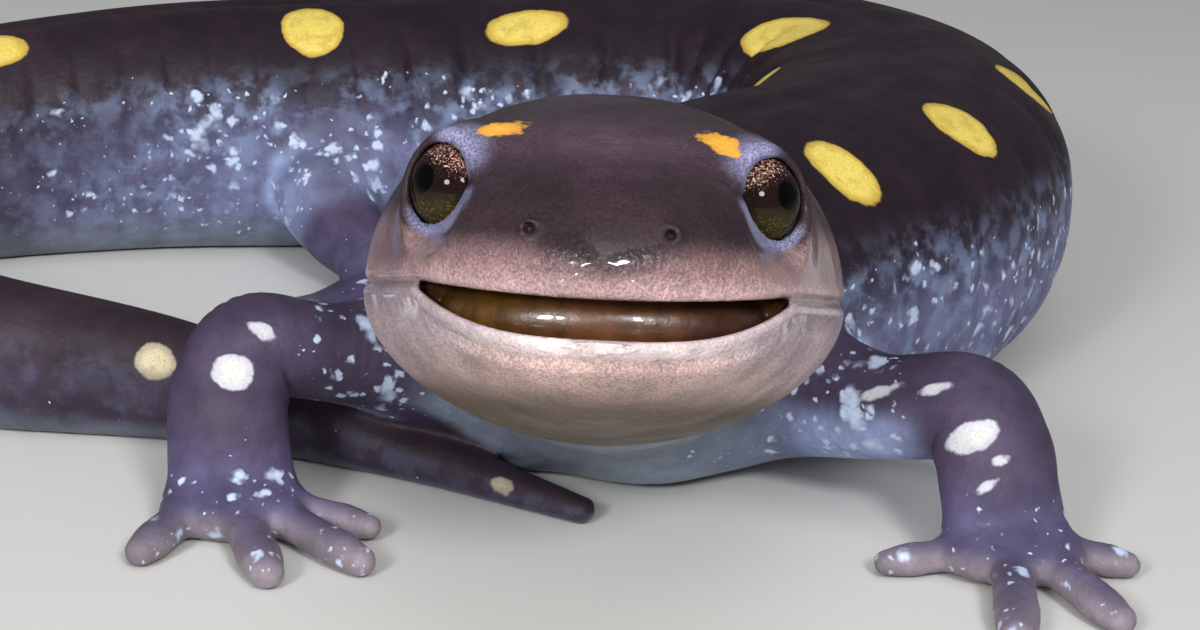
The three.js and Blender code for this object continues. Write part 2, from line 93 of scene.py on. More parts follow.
# The snout hangs over the mouth: how far forward it is at the top and back at the bottom, and the
# heights and the places along the head between which this changes.
OVERHANG = (1.05, -0.25)
OVERHANG_HEIGHT = (-1.5, 4.5)
OVERHANG_END = (-13.5, -9.0)
CREASE_END = 2.2

EYE = np.array([5.7, -7.7, 4.75])
EYE_RADIUS = 2.05
MIDLINE = -0.13  # the face leans a little to the right
OPENING_YAW = math.radians(41)  # which way the gap between the lids faces
OPENING_RISE = math.radians(4)
OPENING_REACH = math.radians(50)  # from the middle of that gap to its edge
CANTHUS_REACH = math.radians(3)  # how much further it goes at its front corner
BACK_REACH = math.radians(3)  # and at the back
LID_FULLNESS = math.radians(4)  # and how much less where the lower lid is fullest
LID_FULLEST = math.radians(-42)  # the way round to that place, from the front corner
LID_FULL_WIDTH = math.radians(42)
# The oval of the eye seen from in front: its middle, out and up from the eye's, its half width
# and height, and the lean of its lower end outwards.
LOWER_LID_PLACE = (0.85, 0.09)
LOWER_LID_SIZE = (1.17, 1.55)
LOWER_LID_TILT = math.radians(12)
GAZE_YAW = math.radians(45.5)
GAZE_RISE = math.radians(7)
ORBIT_RADIUS = 2.68
ORBIT_SET_BACK = 0.55
ORBIT_INWARD = 0.25
LID_THICKNESS = (0.14, 0.40)  # at the back corner and at the front one
PUPIL_RADIUS = 0.57
BALL_RADIUS = 1.97
CORNEA_RADIUS = 1.83  # the front of the eye is rounder than the ball and stands a little forward
CORNEA_FORWARD = 0.25

NOSTRIL_X = 2.6
NOSTRIL_Z = 3.05
NOSTRIL_RADIUS = 0.20
NOSTRIL_RIM = (0.30, 0.08)  # radius and half thickness of the raised ring round it

# ---------- body sizes

SECTION_POWER = 2.35
SINK = 0.3  # how far the round belly would reach below the floor before it is flattened
# Spine: place on the floor plan, full width and height, and where it isn't lying on the floor
# the height of its middle and the lean of its sections in degrees.
SPINE = [
    (-0.1, 7.9, 15.7, 14.4, 10.7, 18),
    (0.5, 11.6, 16.8, 16.0, 8.15, 10),
    (2.6, 15.3, 18.2, 16.3, 7.85, 3),
    (7.3, 20.4, 18.9, 16.5),
    (12.7, 27.2, 19.2, 16.4),
    (15.5, 36.4, 19.2, 16.2),
    (14.2, 46.4, 18.9, 15.9),
    (7.2, 53.2, 17.7, 15.6),
    (-3.6, 52.9, 16.4, 15.1),
    (-15.0, 49.7, 14.2, 14.6),
    (-28.0, 46.3, 11.3, 14.0),
    (-40.0, 39.9, 9.6, 12.6),
    (-45.9, 29.8, 8.5, 11.0),
    (-42.0, 19.8, 7.4, 9.5),
    (-31.0, 15.6, 6.1, 7.7),
    (-19.5, 14.4, 4.9, 5.6),
    (-9.6, 10.7, 3.0, 2.7),
    (-0.6, 5.6, 1.3, 1.2),
]
TAIL_SPLIT = 12  # the spine is two tubes, so that the tail's end can lie against the chest
AXILLA, GROIN, GROOVES_END = 17.0, 73.0, 160.0  # millimetres along the spine
COSTAL_SPACING = 4.6
TAIL_SPACING = 2.75
BEND = (30.0, 66.0)  # the stretch of trunk that turns back

# Legs: the middle line from the body to the foot, with full width and thickness at each point.
# The palm is an oval plate with a turn in degrees; each digit has a root, a tip and a width.
# "pale" is how far up the blue underside of the part next to the body reaches: from -1, its
# bottom, to 1, its top, and above that for all of it.
FORELEG_RIGHT = {
    "pale": (-0.2, -1.0),
    "line": [
        (-3.8, 13.0, 4.6, 9.4, 9.2),
        (-8.2, 11.3, 5.7, 6.4, 7.8),
        (-12.4, 8.6, 6.5, 4.4, 4.9),
        (-15.6, 7.1, 7.1, 4.9, 4.7),
        (-16.5, 5.6, 5.4, 5.3, 4.3),
        (-16.4, 4.4, 3.8, 5.4, 3.7),
        (-16.1, 3.3, 2.1, 5.6, 2.8),
        (-15.9, 2.2, 1.2, 5.6, 2.2),
    ],
    "palm": (-15.8, 2.5, 3.2, 2.2, 8),
    "digits": [
        (-17.6, 2.6, -19.3, -1.7, 1.75),
        (-15.6, 1.9, -13.7, -3.3, 1.95),
        (-14.2, 2.4, -9.9, -1.7, 1.75),
        (-14.0, 3.4, -9.9, 2.2, 1.45),
    ],
}
FORELEG_LEFT = {
    "pale": (0.7, 0.0),
    "line": [
        (5.2, 13.2, 4.9, 9.4, 9.4),
        (9.2, 10.6, 5.2, 6.4, 6.9),
        (12.8, 7.6, 5.5, 4.8, 4.9),
        (16.4, 5.6, 6.3, 5.0, 4.9),
        (17.5, 4.2, 5.0, 5.4, 4.4),
        (17.8, 3.0, 3.6, 5.4, 3.7),
        (18.1, 2.1, 2.1, 5.6, 2.8),
        (18.3, 1.2, 1.2, 5.6, 2.2),
    ],
    "palm": (18.4, 1.6, 3.2, 2.2, -4),
    "digits": [
        (16.8, 1.6, 12.9, 0.9, 1.45),
        (18.3, 1.0, 17.8, -6.2, 1.95),
        (19.8, 1.2, 22.3, -4.1, 1.8),
        (20.4, 2.4, 23.6, 1.9, 1.45),
    ],
}
HINDLEG_RIGHT = {
    "pale": (1.6, -0.2),
    "line": [
        (-12.4, 47.5, 5.9, 7.4, 7.4),
        (-14.4, 44.4, 5.2, 6.8, 6.8),
        (-15.8, 41.7, 4.5, 6.2, 5.5),
        (-14.8, 39.2, 3.2, 4.7, 4.2),
        (-13.3, 36.9, 2.3, 3.6, 3.2),
        (-12.6, 34.9, 1.6, 4.0, 2.7),
        (-12.2, 33.2, 1.2, 5.0, 2.2),
    ],
    "palm": (-12.4, 32.1, 3.3, 2.7, 20),
    "digits": [
        (-14.3, 32.9, -18.0, 30.9, 1.5),
        (-14.0, 31.3, -16.9, 27.1, 1.7),
        (-12.8, 30.7, -13.7, 25.1, 1.8),
        (-11.2, 30.9, -9.9, 25.7, 1.7),
        (-10.4, 32.1, -7.2, 28.8, 1.5),
    ],
}
HINDLEG_LEFT = {
    "pale": (3.0, 2.0),
    "line": [
        (-9.6, 53.2, 5.9, 7.4, 7.4),
        (-8.2, 58.0, 5.6, 6.4, 6.2),
        (-6.9, 61.8, 5.5, 5.8, 5.8),
        (-7.5, 64.6, 4.4, 4.8, 4.6),
        (-8.6, 66.4, 3.0, 4.0, 3.3),
        (-8.9, 67.9, 1.9, 4.4, 2.7),
        (-8.9, 69.4, 1.2, 5.0, 2.2),
    ],
    "palm": (-8.9, 70.0, 3.3, 2.7, 4),
    "digits": [
        (-10.7, 69.4, -14.4, 71.2, 1.5),
        (-10.4, 71.0, -13.0, 75.2, 1.7),
        (-9.0, 71.6, -9.4, 77.2, 1.8),
        (-7.6, 71.3, -5.6, 76.3, 1.7),
        (-7.0, 70.0, -3.5, 72.6, 1.5),
    ],
}
LEGS = [FORELEG_RIGHT, FORELEG_LEFT, HINDLEG_RIGHT, HINDLEG_LEFT]
DIGIT_HEIGHT = 0.66
DIGIT_SHAPE = [(0.0, 1.15), (0.3, 0.98), (0.55, 0.97), (0.7, 1.03), (0.85, 0.95), (1.0, 0.78)]
PALM_HALF_HEIGHT = 1.3
PALM_Z = 1.15

# ---------- helpers


def smooth_step(low, high, value):
    share = np.clip((value - low) / (high - low), 0, 1)
    return share * share * (3 - 2 * share)


def bump(value, middle, width):
    return np.exp(-(((value - middle) / width) ** 2))


def join(a, b, softness):
    """The union of two distance fields, rounded over about `softness` where they meet."""
    share = np.clip(0.5 + 0.5 * (b - a) / softness, 0, 1)
    return b + (a - b) * share - softness * share * (1 - share)


def carve(a, b, softness):
    """The field a with b taken away, its edge rounded."""
    return -join(-a, b, softness)


def catmull_rom(rows, per_span):
    """A smooth curve through rows of numbers, with per_span samples from each row to the next."""
    rows = np.asarray(rows, float)
    padded = np.vstack([2 * rows[0] - rows[1], rows, 2 * rows[-1] - rows[-2]])
    place = np.linspace(0, len(rows) - 1, (len(rows) - 1) * per_span + 1)
    i = np.minimum(place.astype(int), len(rows) - 2)
    f = (place - i)[:, None]
    a, b, c, d = (padded[i + k] for k in range(4))
    cubic = (3 * b - 3 * c + d - a) / 2
    square = (2 * a - 5 * b + 4 * c - d) / 2
    return b + f * ((c - a) / 2 + f * (square + f * cubic))


def unit(vectors):
    return vectors / np.linalg.norm(vectors, axis=-1, keepdims=True)


def ellipsoid(offset, radii):
    """Roughly the distance to an ellipsoid's surface, from places given from its middle."""
    radii = np.array(radii)
    share = np.maximum(np.linalg.norm(offset / radii, axis=1), 0.05)
    slope = np.maximum(np.linalg.norm(offset / radii**2, axis=1), 0.02)
    return share * (share - 1) / slope


def between(values, i, f):
    """What lies the share f of the way from row i of values to the next row."""
    return values[i] * (1 - f) + values[i + 1] * f


class Tube:
    """A bent tube of oval section, with its ends rounded off."""

    def __init__(self, centre, half_wide, half_tall, side, up, power=2.0):
        self.centre = centre
        self.half = np.stack([half_wide, half_tall], axis=1)
        self.side = unit(side)
        self.up = unit(up)
        self.normal = np.cross(self.up, self.side)
        heading = np.gradient(centre, axis=0)
        flip = np.sign((self.normal * heading).sum(1))
        self.normal *= flip[:, None]
        self.power = power
        steps = np.linalg.norm(np.diff(centre, axis=0), axis=1)
        self.along = np.concatenate([[0], np.cumsum(steps)])
        self.step = steps.mean()
        grown = self.half.max(1)[:, None]
        self.low = (centre - grown).min(0)
        self.high = (centre + grown).max(0)

    def measure(self, points):
        """Distance to the surface, millimetres along, and place across and up in half sizes."""
        nearest = np.empty(len(points), int)
        centre = self.centre.astype(np.float32)
        squares = (centre**2).sum(1)
        for start in range(0, len(points), CHUNK):
            chunk = points[start : start + CHUNK].astype(np.float32)
            nearest[start : start + CHUNK] = (squares - 2 * chunk @ centre.T).argmin(1)
        place = nearest.astype(float)
        last = len(self.centre) - 1
        for _ in range(3):
            i, f, offset = self.local(points, place)
            ahead = (offset * between(self.normal, i, f)).sum(1)
            place = np.clip(place + ahead / self.step, 0, last)
        i, f, offset = self.local(points, place)
        half = between(self.half, i, f)
        across = (offset * between(self.side, i, f)).sum(1) / half[:, 0]
        above = (offset * between(self.up, i, f)).sum(1) / half[:, 1]
        beyond = (offset * between(self.normal, i, f)).sum(1) / half.min(1)
        n = self.power
        share = (np.abs(across) ** n + np.abs(above) ** n + np.abs(beyond) ** n) ** (1 / n)
        share = np.maximum(share, 0.05)
        radius = np.maximum(np.linalg.norm(offset, axis=1), 0.02)
        distance = radius * (1 - 1 / share)
        return distance, between(self.along, i, f[:, 0]), across, above

    def local(self, points, place):
        """For a place along the middle line, counted in its points: the point before it, the
        share of the way to the next one, and how far each of points is from there."""
        i = np.minimum(place.astype(int), len(self.centre) - 2)
        f = (place - i)[:, None]
        return i, f, points - between(self.centre, i, f)

    def near(self, points, reach):
        """Which points are within reach of the box round the tube."""
        return ((points > self.low - reach) & (points < self.high + reach)).all(1)

    def distance(self, points, reach=3.5):
        """Distance only where it matters, and FAR elsewhere."""
        distance = np.full(len(points), FAR)
        near = self.near(points, reach)
        if near.any():
            distance[near] = self.measure(points[near])[0]
        return distance


# ---------- body field


def spine_row(row):
    x, y, wide, tall = row[:4]
    middle = row[4] if len(row) > 4 else tall / 2 - SINK * min(1, tall / 8)
    lean = row[5] if len(row) > 5 else 0
    return (x, y, middle, wide / 2, tall / 2, lean)


SPINE_STEPS = 20
spine = catmull_rom([spine_row(row) for row in SPINE], SPINE_STEPS)
spine_heading = np.gradient(spine[:, :3], axis=0)
spine_heading[:, 2] = 0
spine_heading = unit(spine_heading)
spine_left = np.stack(
    [spine_heading[:, 1], -spine_heading[:, 0], np.zeros(len(spine))], axis=1
)
spine_lean = np.radians(spine[:, 5])[:, None]
spine_up = spine_heading * np.sin(spine_lean) + np.array([0, 0, 1]) * np.cos(spine_lean)


def spine_tube(first, last):
    part = slice(first, last)
    rows = spine[part]
    return Tube(
        rows[:, :3], rows[:, 3], rows[:, 4], spine_left[part], spine_up[part], SECTION_POWER
    )


whole_spine = spine_tube(0, len(spine))
split = TAIL_SPLIT * SPINE_STEPS
TUBES = [spine_tube(0, split + 1), spine_tube(split, len(spine))]
TUBE_STARTS = [0.0, whole_spine.along[split]]


def flank(across, above):
    """1 on the sides of the body, 0 along its back and belly."""
    angle = np.degrees(np.arctan2(np.abs(across), above))
    return smooth_step(25, 55, angle) * (1 - smooth_step(125, 160, angle))


def groove_depth(along, across, above):
    """The costal grooves of the trunk, the finer ones of the tail and the furrow of the back."""
    trunk = np.clip(along - AXILLA, 0, GROIN - AXILLA) / COSTAL_SPACING
    tail = np.maximum(along - GROIN, 0) / TAIL_SPACING
    wave = 0.5 + 0.5 * np.cos(2 * np.pi * (trunk + tail))
    fade_in = smooth_step(AXILLA - 1, AXILLA + 2, along)
    on_tail = smooth_step(GROIN, GROIN + 8, along)
    fade_out = 1 - smooth_step(GROOVES_END - 45, GROOVES_END, along)
    inner = np.clip(-across, 0, 1) * smooth_step(BEND[0], BEND[0] + 10, along)
    inner = inner * (1 - smooth_step(BEND[1] - 8, BEND[1], along))
    depth = (0.30 - 0.14 * on_tail) * fade_in * fade_out * (1 + 0.2 * inner)
    furrow = 0.22 * bump(across, 0, 0.09) * (above > 0) * smooth_step(4, 14, along)
    furrow = furrow * (1 - smooth_step(90, 120, along))
    return depth * flank(across, above) * (wave**5 - 0.25) + furrow


def body_fields(points):
    """The distance to the front tube and to the tail's tube."""
    fields = []
    for tube, start in zip(TUBES, TUBE_STARTS):
        distance = np.full(len(points), FAR)
        near = tube.near(points, 4)
        if near.any():
            rough, along, across, above = tube.measure(points[near])
            distance[near] = rough + groove_depth(along + start, across, above)
        fields.append(distance)
    return fields


# ---------- legs


def limb_tube(rows, per_span=10):
    """A tube along a leg or digit. Its width lies level at the far end and is carried back."""
    curve = catmull_rom(rows, per_span)
    heading = unit(np.gradient(curve[:, :3], axis=0))
    side = np.empty_like(heading)
    carried = np.array([-heading[-1, 1], heading[-1, 0], 0.0])
    for i in range(len(curve) - 1, -1, -1):
        carried = carried - heading[i] * (carried @ heading[i])
        carried = carried / np.linalg.norm(carried)
        side[i] = carried
    up = np.cross(heading, side)
    return Tube(curve[:, :3], curve[:, 3] / 2, curve[:, 4] / 2, side, up)


def digit_rows(digit):
    root_x, root_y, tip_x, tip_y, wide = digit
    rows = []
    for share, scale in DIGIT_SHAPE:
        x = root_x + (tip_x - root_x) * share
        y = root_y + (tip_y - root_y) * share
        z = DIGIT_HEIGHT + 0.45 * (1 - share)
        rows.append((x, y, z, wide * scale, min(wide * scale, 1.6)))
    return rows


def palm_distance(palm, points):
    x, y, half_width, half_length, turn = palm
    turn = math.radians(turn)
    offset = points - np.array([x, y, PALM_Z])
    across = offset[:, 0] * math.cos(turn) + offset[:, 1] * math.sin(turn)
    ahead = -offset[:, 0] * math.sin(turn) + offset[:, 1] * math.cos(turn)
    turned = np.stack([across, ahead, offset[:, 2]], axis=1)
    return ellipsoid(turned, (half_width, half_length, PALM_HALF_HEIGHT))


LEG_TUBES = [
    {
        "leg": limb_tube(leg["line"]),
        "pale": leg["pale"],
        "palm": leg["palm"],
        "digits": [limb_tube(digit_rows(digit), 6) for digit in leg["digits"]],
    }
    for leg in LEGS
]


def leg_distance(leg, points):
    distance = leg["leg"].distance(points)
    near = (points[:, 2] < 5) & (np.abs(distance) < 12)
    near |= (points[:, 2] < 5) & (distance >= FAR)
    if not near.any():
        return distance
    low = points[near]
    foot = join(distance[near], palm_distance(leg["palm"], low), 0.9)
    for digit in leg["digits"]:
        foot = join(foot, digit.distance(low, 2.5), 0.45)
    distance[near] = foot
    return distance


# ---------- head field


def to_head(points):
    offset = points - HEAD_CENTRE
    return np.stack([offset[:, 0], offset @ HEAD_BACK, offset @ HEAD_UP], axis=1)


def from_head(points):
    points = np.atleast_2d(points)
    place = points[:, 1:2] * HEAD_BACK + points[:, 2:3] * HEAD_UP
    place[:, 0] += points[:, 0]
    return HEAD_CENTRE + place


# Near the snout the sizes grow as the square root of the distance from the tip, so the head's
# profile is kept as squares over that root.
head_rows = [(0.0, 0.0, 0.0, 0.0)]
for ring_y, ring_wide, ring_top, ring_bottom in HEAD_RINGS:
    root = math.sqrt(ring_y - SNOUT_TIP)
    head_rows.append((root, ring_wide, ring_top - WIDEST_Z, WIDEST_Z - ring_bottom))
head_profile = catmull_rom(head_rows, 24)
head_profile_y = head_profile[:, 0] ** 2
head_profile_y = np.maximum.accumulate(head_profile_y + np.arange(len(head_profile)) * 1e-9)


def overhang(y, z):
    top, bottom = OVERHANG
    forward = bottom + (top - bottom) * smooth_step(*OVERHANG_HEIGHT, z)
    return forward * (1 - smooth_step(*OVERHANG_END, y))


def head_shell(local):
    """Roughly the distance to the plain head's surface, negative inside and smooth across it."""
    x, y, z = local.T
    depth = y + overhang(y, z) - SNOUT_TIP
    inside = np.maximum(depth, 0.02)
    wide = np.interp(inside, head_profile_y, head_profile[:, 1])
    top = np.interp(inside, head_profile_y, head_profile[:, 2])
    bottom = np.interp(inside, head_profile_y, head_profile[:, 3])
    rise = z - WIDEST_Z
    power = np.where(rise > 0, CROWN_POWER, JAW_POWER)
    tall = np.where(rise > 0, top, bottom)
    squares = (np.abs(x) ** power + np.abs(rise * wide / tall) ** power) ** (2 / power)
    size = np.where(depth > 0.02, wide**2, wide**2 * depth / 0.02)
    return (squares - size) / (np.sqrt(squares) + np.sqrt(np.maximum(size, 0)) + 0.05)


def gradient_of(function, points, step=0.04):
    """A function's value and slope at points, by small steps along each axis."""
    value = function(points)
    slope = np.empty_like(points)
    for axis in range(3):
        moved = points.copy()
        moved[:, axis] += step
        slope[:, axis] = (function(moved) - value) / step
    return value, slope


def facing(side, yaw, rise):
    """The direction an eye or its lids face, the way across to the snout, and the way up."""
    level = np.array([side * math.sin(yaw), -math.cos(yaw), 0.0])
    look = level * math.cos(rise) + np.array([0.0, 0.0, math.sin(rise)])
    inward = np.array([-side * math.cos(yaw), -math.sin(yaw), 0.0])
    upward = np.array([0.0, 0.0, math.cos(rise)]) - level * math.sin(rise)
    return look, inward, upward


def eye_place(side):
    return EYE * np.array([side, 1, 1]) + np.array([MIDLINE, 0, 0])


def around_eye(local, side):
    """Places round an eye: distance from its middle, angle off the opening's axis, and the
    cosine and sine of the angle round it, from the front corner upwards."""
    look, inward, upward = facing(side, OPENING_YAW, OPENING_RISE)
    offset = local - eye_place(side)
    forward = offset @ look
    beside = np.hypot(offset @ inward, offset @ upward)
    off_axis = np.arctan2(beside, forward)
    level = offset @ inward / np.maximum(beside, 1e-6)
    above = offset @ upward / np.maximum(beside, 1e-6)
    return np.linalg.norm(offset, axis=1), off_axis, level, above


def below_eye(local, side):
    """How much each point is on the pale roll of the lower lid, which is a crescent round the
    lower inner side of the eye as it is seen from straight in front, and fades down the cheek."""
    away = (local - eye_place(side)) * np.array([side, 1, 1])
    out, up = away[:, 0] - LOWER_LID_PLACE[0], away[:, 2] - LOWER_LID_PLACE[1]
    inward = up * -math.sin(LOWER_LID_TILT) - out * math.cos(LOWER_LID_TILT)
    upward = up * math.cos(LOWER_LID_TILT) - out * math.sin(LOWER_LID_TILT)
    share = np.hypot(inward / LOWER_LID_SIZE[0], upward / LOWER_LID_SIZE[1])
    turn = np.degrees(np.arctan2(upward, inward))
    edge = 1.3 + 0.16 * bump(turn, -50, 35)
    sector = smooth_step(12, -8, turn) * smooth_step(-140, -105, turn)
    ahead = smooth_step(1.5, 0.5, away[:, 1])
    close = smooth_step(5.7, 3.7, np.linalg.norm(away, axis=1))
    return smooth_step(edge + 0.1, edge - 0.1, share) * sector * ahead * close


def beside_opening(radius, off_axis, reach):
    """Distance across and ahead from the edge of the lids' opening."""
    ring = EYE_RADIUS + 0.1
    across = radius * np.sin(off_axis) - ring * np.sin(reach)
    ahead = radius * np.cos(off_axis) - ring * np.cos(reach)
    return np.hypot(across, ahead)


def opening_reach(level, above):
    """The angle from the middle of the gap between the lids to its edge, going round it."""
    front = np.clip(1 - np.abs(above) / 0.3, 0, 1) ** 1.6 * (level > 0)
    back = smooth_step(0.1, -0.8, level)
    below = bump(np.arctan2(above, level), LID_FULLEST, LID_FULL_WIDTH)
    return OPENING_REACH + CANTHUS_REACH * front + BACK_REACH * back - LID_FULLNESS * below


def lip_height(lip, bend, x):
    """How high a lip's edge is at a place across."""
    middle, corner = lip
    share = np.clip(np.abs(x) / MOUTH_HALF_WIDTH, 0, 1.1)
    return middle + (corner - middle) * share**bend


def upper_lip(x):
    return lip_height(UPPER_LIP, UPPER_LIP_BEND, x)


def lower_lip(x):
    return lip_height(LOWER_LIP, LOWER_LIP_BEND, x)


def add_eye_sockets(distance, local):
    """Adds the swelling round each eye and its lids, and opens the gap between them."""
    for side in (-1, 1):
        look, inward, upward = facing(side, OPENING_YAW, OPENING_RISE)
        radius, off_axis, level, above = around_eye(local, side)
        middle = eye_place(side) - look * ORBIT_SET_BACK + inward * ORBIT_INWARD
        orbit = np.linalg.norm(local - middle, axis=1) - ORBIT_RADIUS
        distance = join(distance, orbit, 2.0)
        reach = opening_reach(level, above)
        front = smooth_step(-0.8, 0.5, level)
        thin, thick = LID_THICKNESS
        thickness = thin + (thick - thin) * front
        ring = EYE_RADIUS + thickness * 0.55
        turn = reach + thickness / ring
        across = radius * np.sin(off_axis) - ring * np.sin(turn)
        ahead = radius * np.cos(off_axis) - ring * np.cos(turn)
        distance = join(distance, np.hypot(across, ahead) - thickness, 0.3)
        below = smooth_step(0.35, -0.3, above) * smooth_step(-0.9, -0.2, level)
        fold = 0.10 * bump(np.hypot(across, ahead), 0.78, 0.16) * below
        corner = 0.18 * bump(above, 0, 0.10) * smooth_step(0.8, 0.95, level)
        corner = corner * bump(off_axis, reach + math.radians(8), math.radians(16))
        distance = distance + (fold + corner) * (radius < 4)
        opening = radius * np.sin(off_axis - reach)
        opening = np.maximum(opening, 0.5 - radius * np.cos(off_axis))
        distance = carve(distance, opening, 0.12)
        distance = np.maximum(distance, EYE_RADIUS + 0.02 - radius)
    return distance


def mouth_distance(local):
    """The parted lips and the room behind them."""
    x, y, z = local.T
    upper = upper_lip(x)
    lower = lower_lip(x)
    slit = np.maximum(lower - z, z - upper)
    slit = np.maximum(slit, np.abs(x) - MOUTH_HALF_WIDTH - 0.35)
    slit = np.maximum(slit, y + 14 - 4 * (x / MOUTH_HALF_WIDTH) ** 2)
    room = ellipsoid(local - MOUTH_ROOM_CENTRE, MOUTH_ROOM_RADII)
    return join(slit, room, 0.3)


def lip_relief(local):
    """Small swellings and grooves of the lips, jaw and throat, in millimetres outwards."""
    x, y, z = local.T
    ahead = 1 - smooth_step(-3.5, -0.5, y)
    lower = lower_lip(x)
    upper = upper_lip(x)
    relief = 0.14 * bump(z, lower - 0.34, 0.36) * ahead
    middle = smooth_step(7.0, 4.5, np.abs(x)) * ahead
    relief -= 0.10 * bump(z, lower - 0.80, 0.18) * middle
    relief += 0.15 * bump(z, lower - 1.25, 0.36) * middle
    relief += 0.08 * bump(z, upper + 0.35, 0.35) * ahead
    behind = smooth_step(MOUTH_HALF_WIDTH - 0.7, MOUTH_HALF_WIDTH + 0.1, np.abs(x))
    crease = behind * (1 - smooth_step(CREASE_END - 2.5, CREASE_END, y))
    relief -= 0.20 * bump(z, CREASE_Z, 0.20) * crease
    throat = 1 - smooth_step(-2.5, 2.5, z)
    relief -= 0.35 * bump(y, 6.9, 0.55) * throat
    relief += 0.12 * bump(y, 5.4, 1.0) * throat
    relief -= 0.10 * bump(x, 0, 1.6) * bump(y, -6.0, 5.0) * (z > 1)
    relief += 0.13 * bump(x, -0.3, 1.6) * bump(z, 2.0, 1.7) * smooth_step(-10, -13, y)
    return relief


HEAD_BOX = (np.array([-15, -20, -10]), np.array([15, 15, 14]))


def head_distance(points):
    """Distance to the head's surface inside the box round it, and FAR outside that."""
    distance = np.full(len(points), FAR)
    local = to_head(points)
    low, high = HEAD_BOX
    near = ((local > low) & (local < high)).all(1)
    if not near.any():
        return distance
    local = local[near]
    value, slope = gradient_of(head_shell, local)
    plain = value / np.maximum(np.linalg.norm(slope, axis=1), 0.35)
    plain = plain - lip_relief(local)
    plain = add_eye_sockets(plain, local)
    plain = carve(plain, mouth_distance(local), 0.24)
    for side in (-1, 1):
        pit = np.array([side * NOSTRIL_X + 2 * MIDLINE, nostril_y, NOSTRIL_Z])
        offset = local - pit
        ring, thickness = NOSTRIL_RIM
        beside = np.hypot(offset[:, 0], offset[:, 2]) - ring
        plain = join(plain, np.hypot(beside, offset[:, 1]) - thickness, 0.3)
        hole = np.linalg.norm(offset * np.array([1, 0.5, 1]), axis=1) - NOSTRIL_RADIUS
        plain = carve(plain, hole, 0.1)
    distance[near] = plain
    return distance


def snout_surface(x, z):
    """How far along the head its front surface is, at a place across and up."""
    y = np.linspace(SNOUT_TIP - 2, -5, 1100)
    line = np.stack([np.full_like(y, x), y, np.full_like(y, z)], axis=1)
    return y[np.argmax(head_shell(line) < 0)]


nostril_y = snout_surface(NOSTRIL_X, NOSTRIL_Z)

# ---------- the skin


def skin_distance(points):
    front, tail = body_fields(points)
    distance = join(front, head_distance(points), 1.4)
    for leg in LEG_TUBES:
        distance = join(distance, leg_distance(leg, points), 1.1)
    distance = join(distance, tail, 0.9)
    return carve(distance, points[:, 2], 0.22)


LATTICE = 0.46  # spacing of the lattice, which is drawn together round the head
FINEST = 0.32
FINE_REACH = 13.0
FINE_CENTRE = np.array([0.0, -5.0, 10.0])
CHANGE = 20.0
BLOCK = 8


def drawn_together(lattice):
    """Moves lattice points so that they are closer together within FINE_REACH of the head."""
    radius = np.linalg.norm(lattice, axis=1)
    beyond = np.clip(radius - FINE_REACH / FINEST, 0, None) / CHANGE
    ramp = np.where(beyond < 1, beyond**3 - beyond**4 / 2, beyond - 0.5)
    moved = FINEST * radius + (1 - FINEST) * CHANGE * ramp
    return FINE_CENTRE + lattice * (moved / np.maximum(radius, 1e-9))[:, None]


LATTICE_LOW = np.array([-90.0, -44.0, -36.0])
LATTICE_HIGH = np.array([66.0, 124.0, 43.0])
shape = np.ceil((LATTICE_HIGH - LATTICE_LOW) / LATTICE / BLOCK).astype(int) * BLOCK + 1


def corner_place(index):
    return drawn_together(LATTICE_LOW + index * LATTICE)


def sampled_field():
    """The field at lattice corners: exact near the skin, and only its sign elsewhere."""
    blocks = (shape - 1) // BLOCK
    block_index = np.stack(np.meshgrid(*map(np.arange, blocks), indexing="ij"), -1)
    block_index = block_index.reshape(-1, 3)
    middles = corner_place(block_index * BLOCK + BLOCK / 2)
    first = corner_place(block_index * BLOCK)
    last = corner_place(block_index * BLOCK + BLOCK)
    half_diagonal = np.linalg.norm(last - first, axis=1) / 2
    rough = skin_distance(middles)
    busy = np.abs(rough) < half_diagonal * 1.7 + 0.6  # the field is only roughly a distance
    sign = np.where(rough < 0, -FAR, FAR).astype(np.float32).reshape(blocks)
    field = np.full(shape, FAR, np.float32)
    inner = sign.repeat(BLOCK, 0).repeat(BLOCK, 1).repeat(BLOCK, 2)
    field[:-1, :-1, :-1] = inner
    wanted = np.zeros(shape, bool)
    for i, j, k in block_index[busy] * BLOCK:
        wanted[i : i + BLOCK + 1, j : j + BLOCK + 1, k : k + BLOCK + 1] = True
    index = np.argwhere(wanted)
    field[wanted] = skin_distance(corner_place(index))
    return field


CORNERS = np.array([(i, j, k) for i in (0, 1) for j in (0, 1) for k in (0, 1)])
EDGES = [
    (a, b)
    for a in range(8)
    for b in range(a + 1, 8)
    if np.abs(CORNERS[a] - CORNERS[b]).sum() == 1
]


